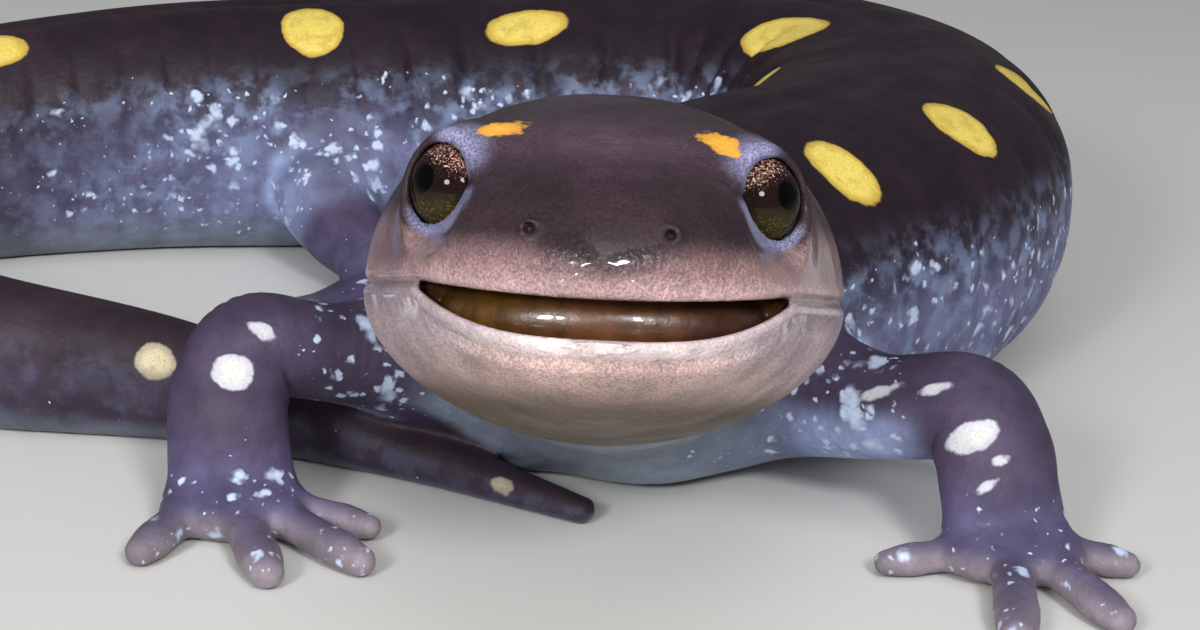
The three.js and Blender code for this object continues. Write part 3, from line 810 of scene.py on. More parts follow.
def skin_mesh():
    """Points and four-sided faces of the field's zero surface."""
    field = sampled_field()
    inside = field < 0
    count = np.zeros(np.array(inside.shape) - 1, np.uint8)
    for i, j, k in CORNERS:
        ends = [s - 1 + o for s, o in zip(inside.shape, (i, j, k))]
        count += inside[i : ends[0], j : ends[1], k : ends[2]]
    cells = np.argwhere((count > 0) & (count < 8))
    number = np.full(count.shape, -1, np.int32)
    number[tuple(cells.T)] = np.arange(len(cells))
    values = np.stack([field[tuple((cells + c).T)] for c in CORNERS], axis=1)
    total = np.zeros((len(cells), 3))
    crossings = np.zeros(len(cells))
    for a, b in EDGES:
        crossed = (values[:, a] < 0) != (values[:, b] < 0)
        va = values[crossed, a]
        share = (va / (va - values[crossed, b]))[:, None]
        total[crossed] += CORNERS[a] * (1 - share) + CORNERS[b] * share
        crossings[crossed] += 1
    points = corner_place(cells + total / crossings[:, None])
    faces = []
    for axis in range(3):
        step = np.eye(3, dtype=int)[axis]
        other = np.eye(3, dtype=int)[[(axis + 1) % 3, (axis + 2) % 3]]
        low = inside[tuple(slice(0, s - d) for s, d in zip(inside.shape, step))]
        high = inside[tuple(slice(d, s) for s, d in zip(inside.shape, step))]
        edges = np.argwhere(low != high)
        leaving = low[tuple(edges.T)]
        around = [edges - other[0] - other[1], edges - other[1], edges, edges - other[0]]
        quad = np.stack([number[tuple(cell.T)] for cell in around], axis=1)
        quad[~leaving] = quad[~leaving][:, ::-1]
        faces.append(quad)
    return settle(points), np.concatenate(faces)


def settle(points):
    """Moves points onto the surface, by a few short steps down the slope."""
    for _ in range(3):
        value, slope = gradient_of(skin_distance, points, 0.02)
        size = np.maximum((slope**2).sum(1), 0.25)
        move = -(value / size)[:, None] * slope
        length = np.linalg.norm(move, axis=1, keepdims=True)
        points = points + move * np.minimum(1, 0.12 / np.maximum(length, 1e-9))
    return points


# ---------- markings


def spine_frame(along, angle):
    """A place on the body: millimetres along, and degrees from the back, positive to the left."""
    i = int(np.argmin(np.abs(whole_spine.along - along)))
    turn = math.radians(angle)
    half = whole_spine.half[i]
    n = SECTION_POWER
    size = (abs(math.sin(turn)) ** n + abs(math.cos(turn)) ** n) ** (-1 / n)
    sideways = spine_left[i] * half[0] * math.sin(turn) * size
    upwards = spine_up[i] * half[1] * math.cos(turn) * size
    outward = unit(sideways / half[0] ** 2 + upwards / half[1] ** 2)
    heading = spine_heading[i]
    return whole_spine.centre[i] + sideways + upwards, heading, outward


def blob(points, centre, heading, outward, length, width, turn=0, depth=3.0):
    """Signed distance, in millimetres, to an oval mark that lies on the skin."""
    heading = np.asarray(heading, float)
    heading = unit(heading - outward * (heading @ outward))
    across = np.cross(outward, heading)
    turn = math.radians(turn)
    long_way = heading * math.cos(turn) + across * math.sin(turn)
    short_way = across * math.cos(turn) - heading * math.sin(turn)
    offset = points - centre
    a = offset @ long_way / (length / 2)
    b = offset @ short_way / (width / 2)
    c = offset @ outward / depth
    share = np.sqrt(a * a + b * b + c * c)
    return (share - 1) * width / 2


# Yellow spots of the trunk: millimetres along, degrees from the back, length, width, turn.
TRUNK_SPOTS = [
    (14.2, 40, 4.5, 2.9, -72),
    (23.4, 36, 4.3, 3.6, -80),
    (34.2, 42, 4.2, 4.0, 0),
    (46.0, 40, 4.6, 3.6, 0),
    (56.0, 34, 3.8, 3.4, 20),
    (65.5, 42, 4.4, 3.2, 0),
    (76.0, 36, 3.6, 3.2, 0),
    (13.0, -38, 3.2, 2.8, -15),
    (22.0, -40, 3.6, 3.0, 0),
    (33.8, -46, 2.4, 2.0, 0),
    (44.6, -32, 5.6, 4.2, 35),
    (68.1, -35.5, 4.9, 2.8, 14),
    (80.4, -31.5, 3.5, 4.2, 0),
]
TAIL_SPOTS = [
    (89.0, 32, 3.2, 2.8, 0),
    (99.0, -28, 3.4, 2.6, 0),
    (108.0, 24, 2.8, 2.4, 0),
    (118.0, -34, 2.6, 2.2, 0),
    (128.0, 28, 2.4, 2.0, 0),
    (139.0, -25, 2.2, 1.8, 0),
]
CREAM_SPOTS = [(149.9, 59, 1.95, 1.8, 0), (168.4, 66, 1.3, 0.8, 0)]
# White spots of the legs: place, which way they run, which way they face, length, width.
LEG_SPOTS = [
    ((-16.2, 4.15, 6.9), (1, 0.05, -0.13), (0.11, -0.87, 0.48), 1.95, 1.5),
    ((-15.0, 5.35, 8.4), (0.95, -0.16, -0.25), (0.07, -0.71, 0.71), 1.3, 0.8),
    ((16.4, 2.5, 6.05), (0.91, -0.1, 0.41), (-0.29, -0.85, 0.45), 2.35, 1.4),
    ((12.4, 5.5, 6.9), (0.87, -0.26, 0.41), (-0.48, -0.59, 0.65), 2.0, 0.5),
    ((14.9, 4.25, 7.6), (0.87, -0.3, 0.38), (-0.48, -0.6, 0.64), 1.3, 0.5),
    ((17.6, 1.9, 5.35), (0.9, 0.34, 0.27), (0.17, -0.85, 0.5), 0.7, 0.32),
    ((17.05, 1.35, 4.3), (0.85, 0, 0.52), (-0.19, -0.92, 0.34), 0.85, 0.4),
    ((-7.0, 61.8, 8.3), (0, 1, 0), (0, 0, 1), 2.0, 1.6),
]
# Orange spots of the head, in its own frame: place, slope to the side, which way they face,
# length, width.
HEAD_SPOTS = [
    ((-4.3, -7.6, 6.85), 20, (0, -1, 0.15), 1.95, 0.85),
    ((4.25, -8.4, 6.75), -26, (0, -1, 0.15), 1.7, 0.85),
    ((-5.4, 1.2, 8.0), 0, (-0.3, 0, 1), 1.8, 1.4),
    ((5.0, 2.4, 8.2), 0, (0.3, 0, 1), 2.1, 1.5),
]


def nearest_mark(distances):
    return np.minimum(np.min(distances, axis=0), 9.0)


def marks(points):
    """Signed distances to the marks of each colour."""
    yellow, cream, pale, orange = [], [], [], []
    for found, spots in ((yellow, TRUNK_SPOTS + TAIL_SPOTS), (cream, CREAM_SPOTS)):
        for along, angle, *size in spots:
            found.append(blob(points, *spine_frame(along, angle), *size))
    for place, heading, outward, *size in LEG_SPOTS:
        pale.append(blob(points, np.array(place), heading, unit(np.array(outward)), *size))
    local = to_head(points)
    for place, slope, outward, *size in HEAD_SPOTS:
        slope = math.radians(slope)
        heading = (math.cos(slope), 0, math.sin(slope))
        outward = unit(np.array(outward, float))
        orange.append(blob(local, np.array(place), heading, outward, *size, depth=9.0))
    return {
        "yellow": nearest_mark(yellow),
        "cream": nearest_mark(cream),
        "pale": nearest_mark(pale),
        "orange": nearest_mark(orange),
    }


def linear(*srgb):
    """A colour given as 0 to 255 in sRGB, as linear light."""
    share = np.array(srgb, float) / 255
    return np.where(share <= 0.04045, share / 12.92, ((share + 0.055) / 1.055) ** 2.4)


BACK = linear(34, 23, 32)
FLANK = linear(98, 98, 130)
BELLY = linear(108, 116, 134)
CROWN = linear(57, 46, 53)
# Middle of the forehead, painted lighter: partly its own tone, partly painted sheen.
FOREHEAD_WITH_PAINTED_SHEEN = linear(86, 64, 78)
FACE = linear(45, 32, 38)
SNOUT = linear(138, 109, 109)
UPPER_LIP_COLOUR = linear(176, 144, 144)
LOWER_LIP_COLOUR = linear(217, 199, 198)
JAW = linear(176, 149, 143)
JAW_CORNER = linear(177, 160, 164)
# Underside of the jaw: its own brownish grey, darkened as painted shade.
SHADED_CHIN = linear(92, 76, 62)
LID = linear(134, 132, 166)
LID_EDGE = linear(50, 36, 40)
LIMB = linear(68, 58, 80)
WRIST = linear(76, 70, 100)
LIMB_UNDER = linear(150, 164, 204)
# The chest's slate blue, painted lighter than its own colour: partly painted light under the
# chin.
BREAST_WITH_PAINTED_LIGHT = linear(122, 132, 148)
DIGIT = linear(152, 140, 144)
TAIL = linear(46, 34, 43)
MOUTH = linear(89, 55, 32)
# A darker mouth colour: painted shade deeper in the mouth and on one side of the tongue, and the
# tongue's darker mottle.
MOUTH_SHADE_AND_MOTTLE = linear(50, 27, 14)
OLIVE = linear(76, 49, 10)
PUPIL = linear(2, 2, 2)
DARK_IRIS = linear(26, 16, 14)
# Painted reflection: the lower part of the iris is painted olive, a reflection of green ground
# below.
IRIS_OLIVE_REFLECTION = linear(44, 40, 17)
COPPER = linear(120, 74, 64)
PALE_COPPER = linear(206, 164, 148)
OLD_GOLD = linear(100, 82, 40)


def mix(a, b, share):
    """A row for each share, going from a to b, each of which may be one colour or a row each."""
    return a * (1 - share[:, None]) + b * share[:, None]


# How many flecks a leg has, from the body to the foot; on the feet they are partly painted
# glints.
LEG_FLECKS_AND_GLINTS = ((0, 1.4), (0.5, 1.4), (0.6, 0.1), (0.86, 0.1), (0.95, 1.3), (1, 0.8))


def leg_masks(points):
    """How much each point belongs to a leg and to a foot, how many flecks and painted glints it
    has there, and how far it is under the part of a leg next to the body."""
    leg_share, foot_share, flecks_and_glints, under = (np.zeros(len(points)) for _ in range(4))
    for leg in LEG_TUBES:
        tube = leg["leg"]
        near = tube.near(points, 8)
        local = points[near]
        distance, along, _, above = tube.measure(local)
        palm = palm_distance(leg["palm"], local)
        foot = 1 - smooth_step(0.0, 2.0, palm)
        for digit in leg["digits"]:
            foot = np.maximum(foot, 1 - smooth_step(0.1, 0.6, digit.distance(local, 2)))
        # The leg's colours come in gradually from its root, which is inside the body.
        grown = smooth_step(4.5, 7.5, np.linalg.norm(local - tube.centre[0], axis=1))
        own = np.maximum((1 - smooth_step(0.4, 1.8, np.abs(distance))) * grown, foot)
        reach = along / tube.along[-1]
        amount = np.interp(reach, *np.transpose(LEG_FLECKS_AND_GLINTS))
        below = smooth_step(*leg["pale"], above) * smooth_step(0.62, 0.48, reach)
        flecks_and_glints[near] = np.maximum(flecks_and_glints[near], amount * own)
        under[near] = np.maximum(under[near], below * own)
        leg_share[near] = np.maximum(leg_share[near], own)
        foot_share[near] = np.maximum(foot_share[near], foot)
    return leg_share, foot_share, flecks_and_glints, under


def tube_colours(points, along, across, above):
    """Colour, amount of flecks and painted glints, underside and tail's end, as columns, for one
    of the tubes.
    """
    angle = np.degrees(np.arctan2(np.abs(across), above))
    on_tail = smooth_step(84, 104, along)
    # On the trunk's left the dark of the back comes this much further down.
    angle = angle - 9 * smooth_step(0, 0.3, across) * smooth_step(70, 60, along)
    side_share = smooth_step(56, 94, angle) * (1 - 0.9 * on_tail)
    underside = smooth_step(112, 140, angle)
    colour = mix(BACK, TAIL, on_tail)
    colour = mix(colour, FLANK, side_share)
    colour = mix(colour, BELLY, underside * (1 - 0.5 * on_tail))
    # Flecks of the flanks: partly real blue white flecks and partly painted glints.
    flecks_and_glints = smooth_step(48, 72, angle) * (1 - smooth_step(118, 150, angle))
    flecks_and_glints = flecks_and_glints * (1 - 0.85 * on_tail)
    # Painted light: the chest under the chin gets a lighter slate blue, partly its own colour and
    # partly painted light in the head's shade.
    breast_with_painted_light = smooth_step(13.0, 9.5, points[:, 1]) * smooth_step(30, 20, along)
    breast_with_painted_light = breast_with_painted_light * smooth_step(9.5, 6.5, points[:, 2])
    colour = mix(colour, BREAST_WITH_PAINTED_LIGHT, breast_with_painted_light)
    return np.column_stack([colour, flecks_and_glints, underside, smooth_step(135, 145, along)])


def body_colours(points):
    """The same for the whole body, changing gently from one tube to the other."""
    (near, *front), (far, *rear) = (tube.measure(points) for tube in TUBES)
    rear[0] = rear[0] + TUBE_STARTS[1]
    share = smooth_step(-0.6, 0.6, near - far)
    columns = mix(tube_colours(points, *front), tube_colours(points, *rear), share)
    tail_end = columns[:, 5] * smooth_step(0.8, 0.3, np.abs(far))
    return columns[:, :3], columns[:, 3], columns[:, 4], tail_end


def head_share(local):
    """1 on the head, fading out over the neck, and 0 on the chest and arms beside and below."""
    x, y, z = local.T
    beside = np.abs(x) + 1.2 * smooth_step(3, 8, y)
    share = (1 - smooth_step(6.0, 9.5, y)) * (1 - smooth_step(10.6, 11.4, beside))
    share = share * smooth_step(-8.0, -6.5, z)
    return share * (1 - smooth_step(0.5, 4.0, y) * smooth_step(-3.5, -5.0, z))


def upper_face(local):
    """The colour of the head above the mouth, which is dark with a pale snout and upper lip."""
    x, y, z = local.T
    colour = mix(CROWN, FACE, smooth_step(-9.0, -12.0, y))
    # Painted sheen: a lighter patch down the middle of the forehead, partly its own tone.
    colour = mix(colour, FOREHEAD_WITH_PAINTED_SHEEN, bump(x, 0, 3.6) * bump(y, -10.4, 2.6))
    light_top = 1.5 + 0.8 * smooth_step(0.5, 3.5, np.abs(x))
    light_top += 1.3 * smooth_step(5.5, 8.5, np.abs(x))
    colour = mix(colour, SNOUT, smooth_step(light_top + 0.8, light_top - 0.8, z))
    return mix(colour, UPPER_LIP_COLOUR, smooth_step(1.1, 0.1, z - upper_lip(x)))


def lower_face(local):
    """The colour of the jaw, and how much each point is on the jaw and on its lip's pale rim."""
    x, y, z = local.T
    lower = lower_lip(x)
    rim = smooth_step(0.85, 0.55, lower - z) * (1 - smooth_step(-8, -4, y))
    half_width = np.interp(y - SNOUT_TIP, head_profile_y, head_profile[:, 1])
    colour = mix(JAW, LOWER_LIP_COLOUR, rim)
    corner = smooth_step(0.65, 1.0, np.abs(x) / np.maximum(half_width, 1))
    colour = mix(colour, JAW_CORNER, corner)
    # Towards the bottom of the jaw the colour darkens: partly its own brownish grey, partly
    # painted shade.
    colour = mix(colour, SHADED_CHIN, smooth_step(-2.4, -3.8, z))
    soft = 0.1 + 0.25 * smooth_step(MOUTH_HALF_WIDTH - 0.5, MOUTH_HALF_WIDTH + 0.8, np.abs(x))
    share = smooth_step(CREASE_Z + soft, CREASE_Z - soft, z) * (y < 9)
    above_mouth = (np.abs(x) < MOUTH_HALF_WIDTH) & (z > (lower + upper_lip(x)) / 2)
    share = np.where(above_mouth, 0, share)
    return colour, share, rim * share


def lid_shares(local, side):
    """How much each point is on the dark edge of the lids and on their pale parts."""
    radius, off_axis, level, above = around_eye(local, side)
    beyond = beside_opening(radius, off_axis, opening_reach(level, above))
    turn = np.degrees(np.arctan2(above, level))
    outer = np.maximum(smooth_step(62, 88, turn), smooth_step(-112, -135, turn))
    upper_lid = smooth_step(0, 18, turn) * smooth_step(112, 70, turn)
    upper_lid = upper_lid * smooth_step(1.7, 0.3, beyond)
    return outer * smooth_step(0.75, 0.45, beyond), np.maximum(below_eye(local, side), upper_lid)


def mouth_lining(local):
    """The colour of the lining behind the lips, and how much each point is on it."""
    x, y, z = local.T
    # Painted shade: the lining darkens further back into the mouth.
    colour = mix(MOUTH, MOUTH_SHADE_AND_MOTTLE, smooth_step(-13.5, -8.5, y))
    share = smooth_step(-0.25, -0.45, head_shell(local)) * (mouth_distance(local) < 0.5)
    return colour, share * (np.abs(z) < 3.2) * (np.abs(x) < 7.8) * (y < -3)


def face_colours(local):
    """The colour of the head, how speckled and wet it is, and what is lining of the mouth."""
    x, y, z = local.T
    jaw, jaw_share, rim = lower_face(local)
    face = mix(upper_face(local), jaw, jaw_share)
    # Painted shade: the crease behind the corner of the mouth is painted darker.
    crease = smooth_step(MOUTH_HALF_WIDTH, MOUTH_HALF_WIDTH + 0.6, np.abs(x))
    crease = crease * bump(z, CREASE_Z, 0.16) * smooth_step(CREASE_END, CREASE_END - 2.5, y)
    face = mix(face, FACE * 2.5, 0.5 * crease)
    lids = np.zeros(len(local))
    for side in (-1, 1):
        edge, pale = lid_shares(local, side)
        face = mix(mix(face, LID_EDGE, edge), LID, pale)
        lids = np.maximum(lids, pale)
    lining_colour, lining = mouth_lining(local)
    face = mix(face, lining_colour, lining)
    speckle = (1 - lining) * (1 + 0.8 * lids) * (1 - 0.6 * rim)
    lips = bump(z, lower_lip(x) - 0.5, 0.7) + bump(z, lower_lip(x) + 1.6, 1.3)
    snout = bump(y, -16.3, 2.0) * bump(z, 1.95, 0.6)
    wet = 0.05 + 0.95 * np.clip(lips * (1 - smooth_step(-6, 0, y)) + snout, 0, 1)
    return face, speckle, wet, lining


def skin_colours(points):
    """The plain colour of the skin at each point, and how flecked, clouded, speckled and wet; the
    flecks and clouds are partly painted glints.
    """
    colour, flecks_and_glints, underside, tail_end = body_colours(points)
    leg_share, foot_share, leg_flecks_and_glints, upper_part = leg_masks(points)
    leg_share = leg_share * (1 - tail_end)
    height = points[:, 2]
    limb = mix(LIMB, WRIST, smooth_step(5.0, 2.5, height))
    colour = mix(colour, limb, leg_share)
    colour = mix(colour, LIMB_UNDER, leg_share * (1 - foot_share) * np.clip(upper_part, 0, 1))
    colour = mix(colour, DIGIT, foot_share * smooth_step(2.0, 0.8, height) * 0.65)
    # The body's clouds and flecks are partly painted glints.
    clouds_and_glints = flecks_and_glints * (1 - leg_share)
    flecks_and_glints = clouds_and_glints + leg_flecks_and_glints * leg_share

    local = to_head(points)
    on_head = head_share(local) * (1 - leg_share)
    face, speckle, wet, lining = face_colours(local)
    wet = np.maximum(on_head * wet, lining)
    amounts = {
        "flecks_and_glints": flecks_and_glints * (1 - on_head),
        "clouds_and_glints": clouds_and_glints * (1 - on_head),
        "speckle": on_head * speckle,
        "wet": np.maximum(wet, 0.3 * underside * (1 - on_head)),
    }
    return mix(colour, face, on_head), amounts


# ---------- blender pieces

eye_low, eye_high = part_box("eye_left")
eye_here = np.array((eye_low + eye_high) / 2) / MM
ORIGIN = from_head(eye_place(1))[0] - eye_here  # the row's origin in the animal's own place


def to_row(points):
    return (np.asarray(points) - ORIGIN) * MM


def make_mesh(name, points, faces):
    mesh = bpy.data.meshes.new(name)
    faces = np.asarray(faces, np.int32)
    sides = faces.shape[1]
    mesh.vertices.add(len(points))
    mesh.vertices.foreach_set("co", to_row(points).astype(np.float32).ravel())
    mesh.loops.add(faces.size)
    mesh.loops.foreach_set("vertex_index", faces.ravel())
    mesh.polygons.add(len(faces))
    mesh.polygons.foreach_set("loop_start", np.arange(0, faces.size, sides, dtype=np.int32))
    mesh.polygons.foreach_set("use_smooth", np.ones(len(faces), bool))
    mesh.update(calc_edges=True)
    mesh.validate()
    piece = bpy.data.objects.new(name, mesh)
    bpy.context.scene.collection.objects.link(piece)
    return piece


def add_attribute(piece, name, values):
    attribute = piece.data.attributes.new(name, "FLOAT", "POINT")
    attribute.data.foreach_set("value", np.asarray(values, np.float32))


def add_colour(piece, name, colours):
    attribute = piece.data.attributes.new(name, "FLOAT_COLOR", "POINT")
    opaque = np.concatenate([colours, np.ones((len(colours), 1))], axis=1)
    attribute.data.foreach_set("color", opaque.astype(np.float32).ravel())


class Nodes:
    """A material's node tree, written as a chain of calls."""

    def __init__(self, name):
        self.material = bpy.data.materials.new(name)
        self.material.use_nodes = True
        self.tree = self.material.node_tree
        self.shader = self.tree.nodes["Principled BSDF"]

    def node(self, kind, **settings):
        made = self.tree.nodes.new(kind)
        for key, value in settings.items():
            setattr(made, key, value)
        return made

    def link(self, value, socket):
        if isinstance(value, bpy.types.NodeSocket):
            self.tree.links.new(value, socket)
        else:
            socket.default_value = value

    def attribute(self, name, output="Fac"):
        return self.node("ShaderNodeAttribute", attribute_name=name).outputs[output]

    def math(self, operation, a, b=0.0, c=0.0):
        made = self.node("ShaderNodeMath", operation=operation)
        for value, socket in zip((a, b, c), made.inputs):
            self.link(value, socket)
        return made.outputs[0]

    def ramp(self, value, low, high, out_low=0.0, out_high=1.0):
        """A smooth step of value from low to high."""
        made = self.node("ShaderNodeMapRange", interpolation_type="SMOOTHSTEP")
        for given, socket in zip((value, low, high, out_low, out_high), made.inputs):
            self.link(given, socket)
        return made.outputs[0]

    def mix(self, share, a, b):
        made = self.node("ShaderNodeMix", data_type="RGBA")
        self.link(share, made.inputs[0])
        self.link(a, made.inputs[6])
        self.link(b, made.inputs[7])
        return made.outputs[2]

    def coordinates(self):
        return self.node("ShaderNodeTexCoord").outputs["Object"]

    def noise(self, scale, detail=3.0, roughness=0.55):
        made = self.node("ShaderNodeTexNoise")
        self.link(self.coordinates(), made.inputs["Vector"])
        made.inputs["Scale"].default_value = scale
        made.inputs["Detail"].default_value = detail
        made.inputs["Roughness"].default_value = roughness
        return made.outputs["Fac"]

    def cells(self, scale, warp=0.0):
        """Distance to the nearest of scattered points, and a random number for each point."""
        made = self.node("ShaderNodeTexVoronoi")
        bent = self.node("ShaderNodeTexNoise")
        self.link(self.coordinates(), bent.inputs["Vector"])
        bent.inputs["Scale"].default_value = scale * 1.6
        place = self.node("ShaderNodeVectorMath", operation="MULTIPLY_ADD")
        self.link(bent.outputs["Color"], place.inputs[0])
        place.inputs[1].default_value = (warp / scale,) * 3
        self.link(self.coordinates(), place.inputs[2])
        self.link(place.outputs[0], made.inputs["Vector"])
        made.inputs["Scale"].default_value = scale
        split = self.node("ShaderNodeSeparateColor")
        self.link(made.outputs["Color"], split.inputs[0])
        return made.outputs["Distance"], split.outputs[0]

    def bump(self, height, distance, strength=1.0, normal=None):
        made = self.node("ShaderNodeBump")
        made.inputs["Strength"].default_value = strength
        made.inputs["Distance"].default_value = distance
        self.link(height, made.inputs["Height"])
        if normal is not None:
            self.link(normal, made.inputs["Normal"])
        return made.outputs[0]


def rgb(colour):
    return (*map(float, colour), 1.0)


YELLOW = linear(226, 203, 100)
YELLOW_EDGE = linear(190, 158, 66)
ORANGE = linear(238, 180, 74)
ORANGE_EDGE = linear(222, 158, 60)
CREAM = linear(196, 184, 150)
CREAM_EDGE = linear(160, 148, 132)
PALE = linear(204, 203, 198)
PALE_EDGE = linear(186, 186, 198)
# Blue white of the flecks, which are partly painted glints.
FLECK_AND_GLINT = linear(194, 208, 234)
CLOUD = linear(122, 136, 168)


def skin_material():
    n = Nodes("wet_skin")
    speckle = n.attribute("speckle")
    broad = n.noise(230.0, 4.0)
    middling = n.noise(900.0, 3.0)
    fine = n.noise(9500.0, 2.0)
    shade = n.ramp(broad, 0.32, 0.68, 0.80, 1.18)
    mottle = n.ramp(middling, 0.35, 0.65, 0.88, 1.10)
    spread = n.math("MULTIPLY_ADD", speckle, 0.22, 0.05)
    grain = n.math("MULTIPLY_ADD", n.ramp(fine, 0.36, 0.64, -1.0, 1.0), spread, 1.0)
    level = n.math("MULTIPLY", n.math("MULTIPLY", shade, mottle), grain)
    scaled = n.node("ShaderNodeVectorMath", operation="SCALE")
    n.link(n.attribute("tint", "Color"), scaled.inputs[0])
    n.link(level, scaled.inputs["Scale"])
    colour = scaled.outputs[0]

    # Blue white clouds and flecks of the flanks and legs, the flecks in two sizes; they are
    # partly painted glints
    patch = n.ramp(n.noise(330.0, 2.0), 0.36, 0.56, 0.5, 1.0)
    amount = n.math("MULTIPLY", patch, n.attribute("flecks_and_glints"))
    blotch = n.math("MULTIPLY", patch, n.attribute("clouds_and_glints"))
    cloud = n.math("MULTIPLY", n.ramp(n.noise(820.0, 5.0, 0.6), 0.42, 0.64), blotch)
    colour = n.mix(n.math("MULTIPLY", cloud, 0.8), colour, rgb(CLOUD))
    for scale, size, least, share, firmness in (
        (620.0, 0.60, 0.30, blotch, 0.1),
        (860.0, 0.52, 0.12, amount, 0.35),
        (1900.0, 0.48, 0.25, amount, 0.35),
    ):
        distance, chance = n.cells(scale, 0.9)
        radius = n.math("MULTIPLY", n.ramp(chance, least, 1.0), size)
        radius = n.math("MULTIPLY", radius, share)
        shown = n.ramp(distance, radius, n.math("MULTIPLY", radius, firmness))
        colour = n.mix(n.math("MULTIPLY", shown, 0.9), colour, rgb(FLECK_AND_GLINT))

    for name, paint, edge, waver, scale in (
        ("yellow", YELLOW, YELLOW_EDGE, 0.5, 620.0),
        ("orange", ORANGE, ORANGE_EDGE, 0.8, 1500.0),
        ("cream", CREAM, CREAM_EDGE, 0.6, 900.0),
        ("pale", PALE, PALE_EDGE, 0.6, 900.0),
    ):
        wobble = n.math("MULTIPLY_ADD", n.noise(scale, 4.0), waver, -waver / 2)
        distance = n.math("ADD", n.attribute(name), wobble)
        painted = n.mix(n.ramp(distance, -0.45, 0.0), rgb(paint), rgb(edge))
        painted = n.mix(n.ramp(middling, 0.5, 0.66, 0.0, 0.35), painted, rgb(edge * 0.7))
        painted = n.mix(n.ramp(fine, 0.5, 0.66, 0.0, 0.35), painted, rgb(edge * 0.5))
        colour = n.mix(n.ramp(distance, 0.07, -0.07), colour, painted)

    n.link(colour, n.shader.inputs["Base Color"])
    wet = n.attribute("wet")
    rough = n.ramp(n.noise(420.0, 3.0), 0.35, 0.65, 0.50, 0.64)
    rough = n.math("MULTIPLY_ADD", wet, -0.25, rough)
    n.link(rough, n.shader.inputs["Roughness"])
    n.link(wet, n.shader.inputs["Coat Weight"])
    n.shader.inputs["Coat Roughness"].default_value = 0.07
    n.shader.inputs["Specular IOR Level"].default_value = 0.22
    n.shader.inputs["Subsurface Weight"].default_value = 0.10
    n.shader.inputs["Subsurface Scale"].default_value = 0.0006
    n.shader.inputs["Subsurface Radius"].default_value = (1.0, 0.5, 0.35)
    pores, _ = n.cells(4200.0)
    relief = n.bump(pores, 0.00004, 0.35)
    relief = n.bump(n.noise(2400.0, 3.0), 0.00006, 0.6, relief)
    relief = n.bump(middling, 0.00010, 0.25, relief)
    film = n.math("MULTIPLY", n.noise(3300.0, 2.0), wet)
    relief = n.bump(film, 0.00012, 0.8, relief)
    n.link(relief, n.shader.inputs["Normal"])
    return n.material


def make_skin():
    points, faces = skin_mesh()
    skin = make_mesh("skin", points, faces)
    colour, amounts = skin_colours(points)
    add_colour(skin, "tint", colour)
    for name, values in amounts.items():
        add_attribute(skin, name, values)
    for name, distance in marks(points).items():
        add_attribute(skin, name, distance)
    skin.data.materials.append(skin_material())
    return skin


def turned_faces(rings, around):
    """Faces between rings of points, and over the two ends, which come to a point.

    The points at the ends come after the rings' own."""
    ring = np.arange(around)
    faces = []
    for i in range(rings - 1):
        near, far = ring + i * around, ring + (i + 1) * around
        faces.append(np.stack([near, np.roll(near, -1), np.roll(far, -1), far], axis=1))
    even = ring[::2]
    odd, next_even = even + 1, (even + 2) % around
    last = (rings - 1) * around
    pole = np.full(len(even), rings * around)
    faces.append(np.stack([next_even, odd, even, pole], axis=1))
    faces.append(np.stack([even + last, odd + last, next_even + last, pole + 1], axis=1))
    return np.concatenate(faces)


EYE_SIDES = 64


def eye_shape(side, profile, poles):
    """A body turned round the line of sight, from pairs of radius and distance forward."""
    look, inward, upward = facing(side, GAZE_YAW, GAZE_RISE)
    angles = np.arange(EYE_SIDES) * 2 * np.pi / EYE_SIDES * side
    circle = np.cos(angles)[:, None] * inward + np.sin(angles)[:, None] * upward
    points = [circle * radius + look * forward for radius, forward in profile]
    points += [look[None] * forward for forward in poles]
    return from_head(eye_place(side) + np.concatenate(points))


def eyeball_profile():
    """The outline of the eye from its front to its back: a bulging cornea, then the ball."""
    turns = np.radians(np.linspace(3, 176, 70))
    ahead = CORNEA_FORWARD * np.cos(turns)
    cornea = ahead + np.sqrt(CORNEA_RADIUS**2 - CORNEA_FORWARD**2 + ahead**2)
    ball = np.full(len(turns), BALL_RADIUS)
    radius = -join(-cornea, -ball, 0.03)  # the larger of the two, with the step rounded off
    profile = list(zip(radius * np.sin(turns), radius * np.cos(turns)))
    return profile, (CORNEA_RADIUS + CORNEA_FORWARD, -BALL_RADIUS)


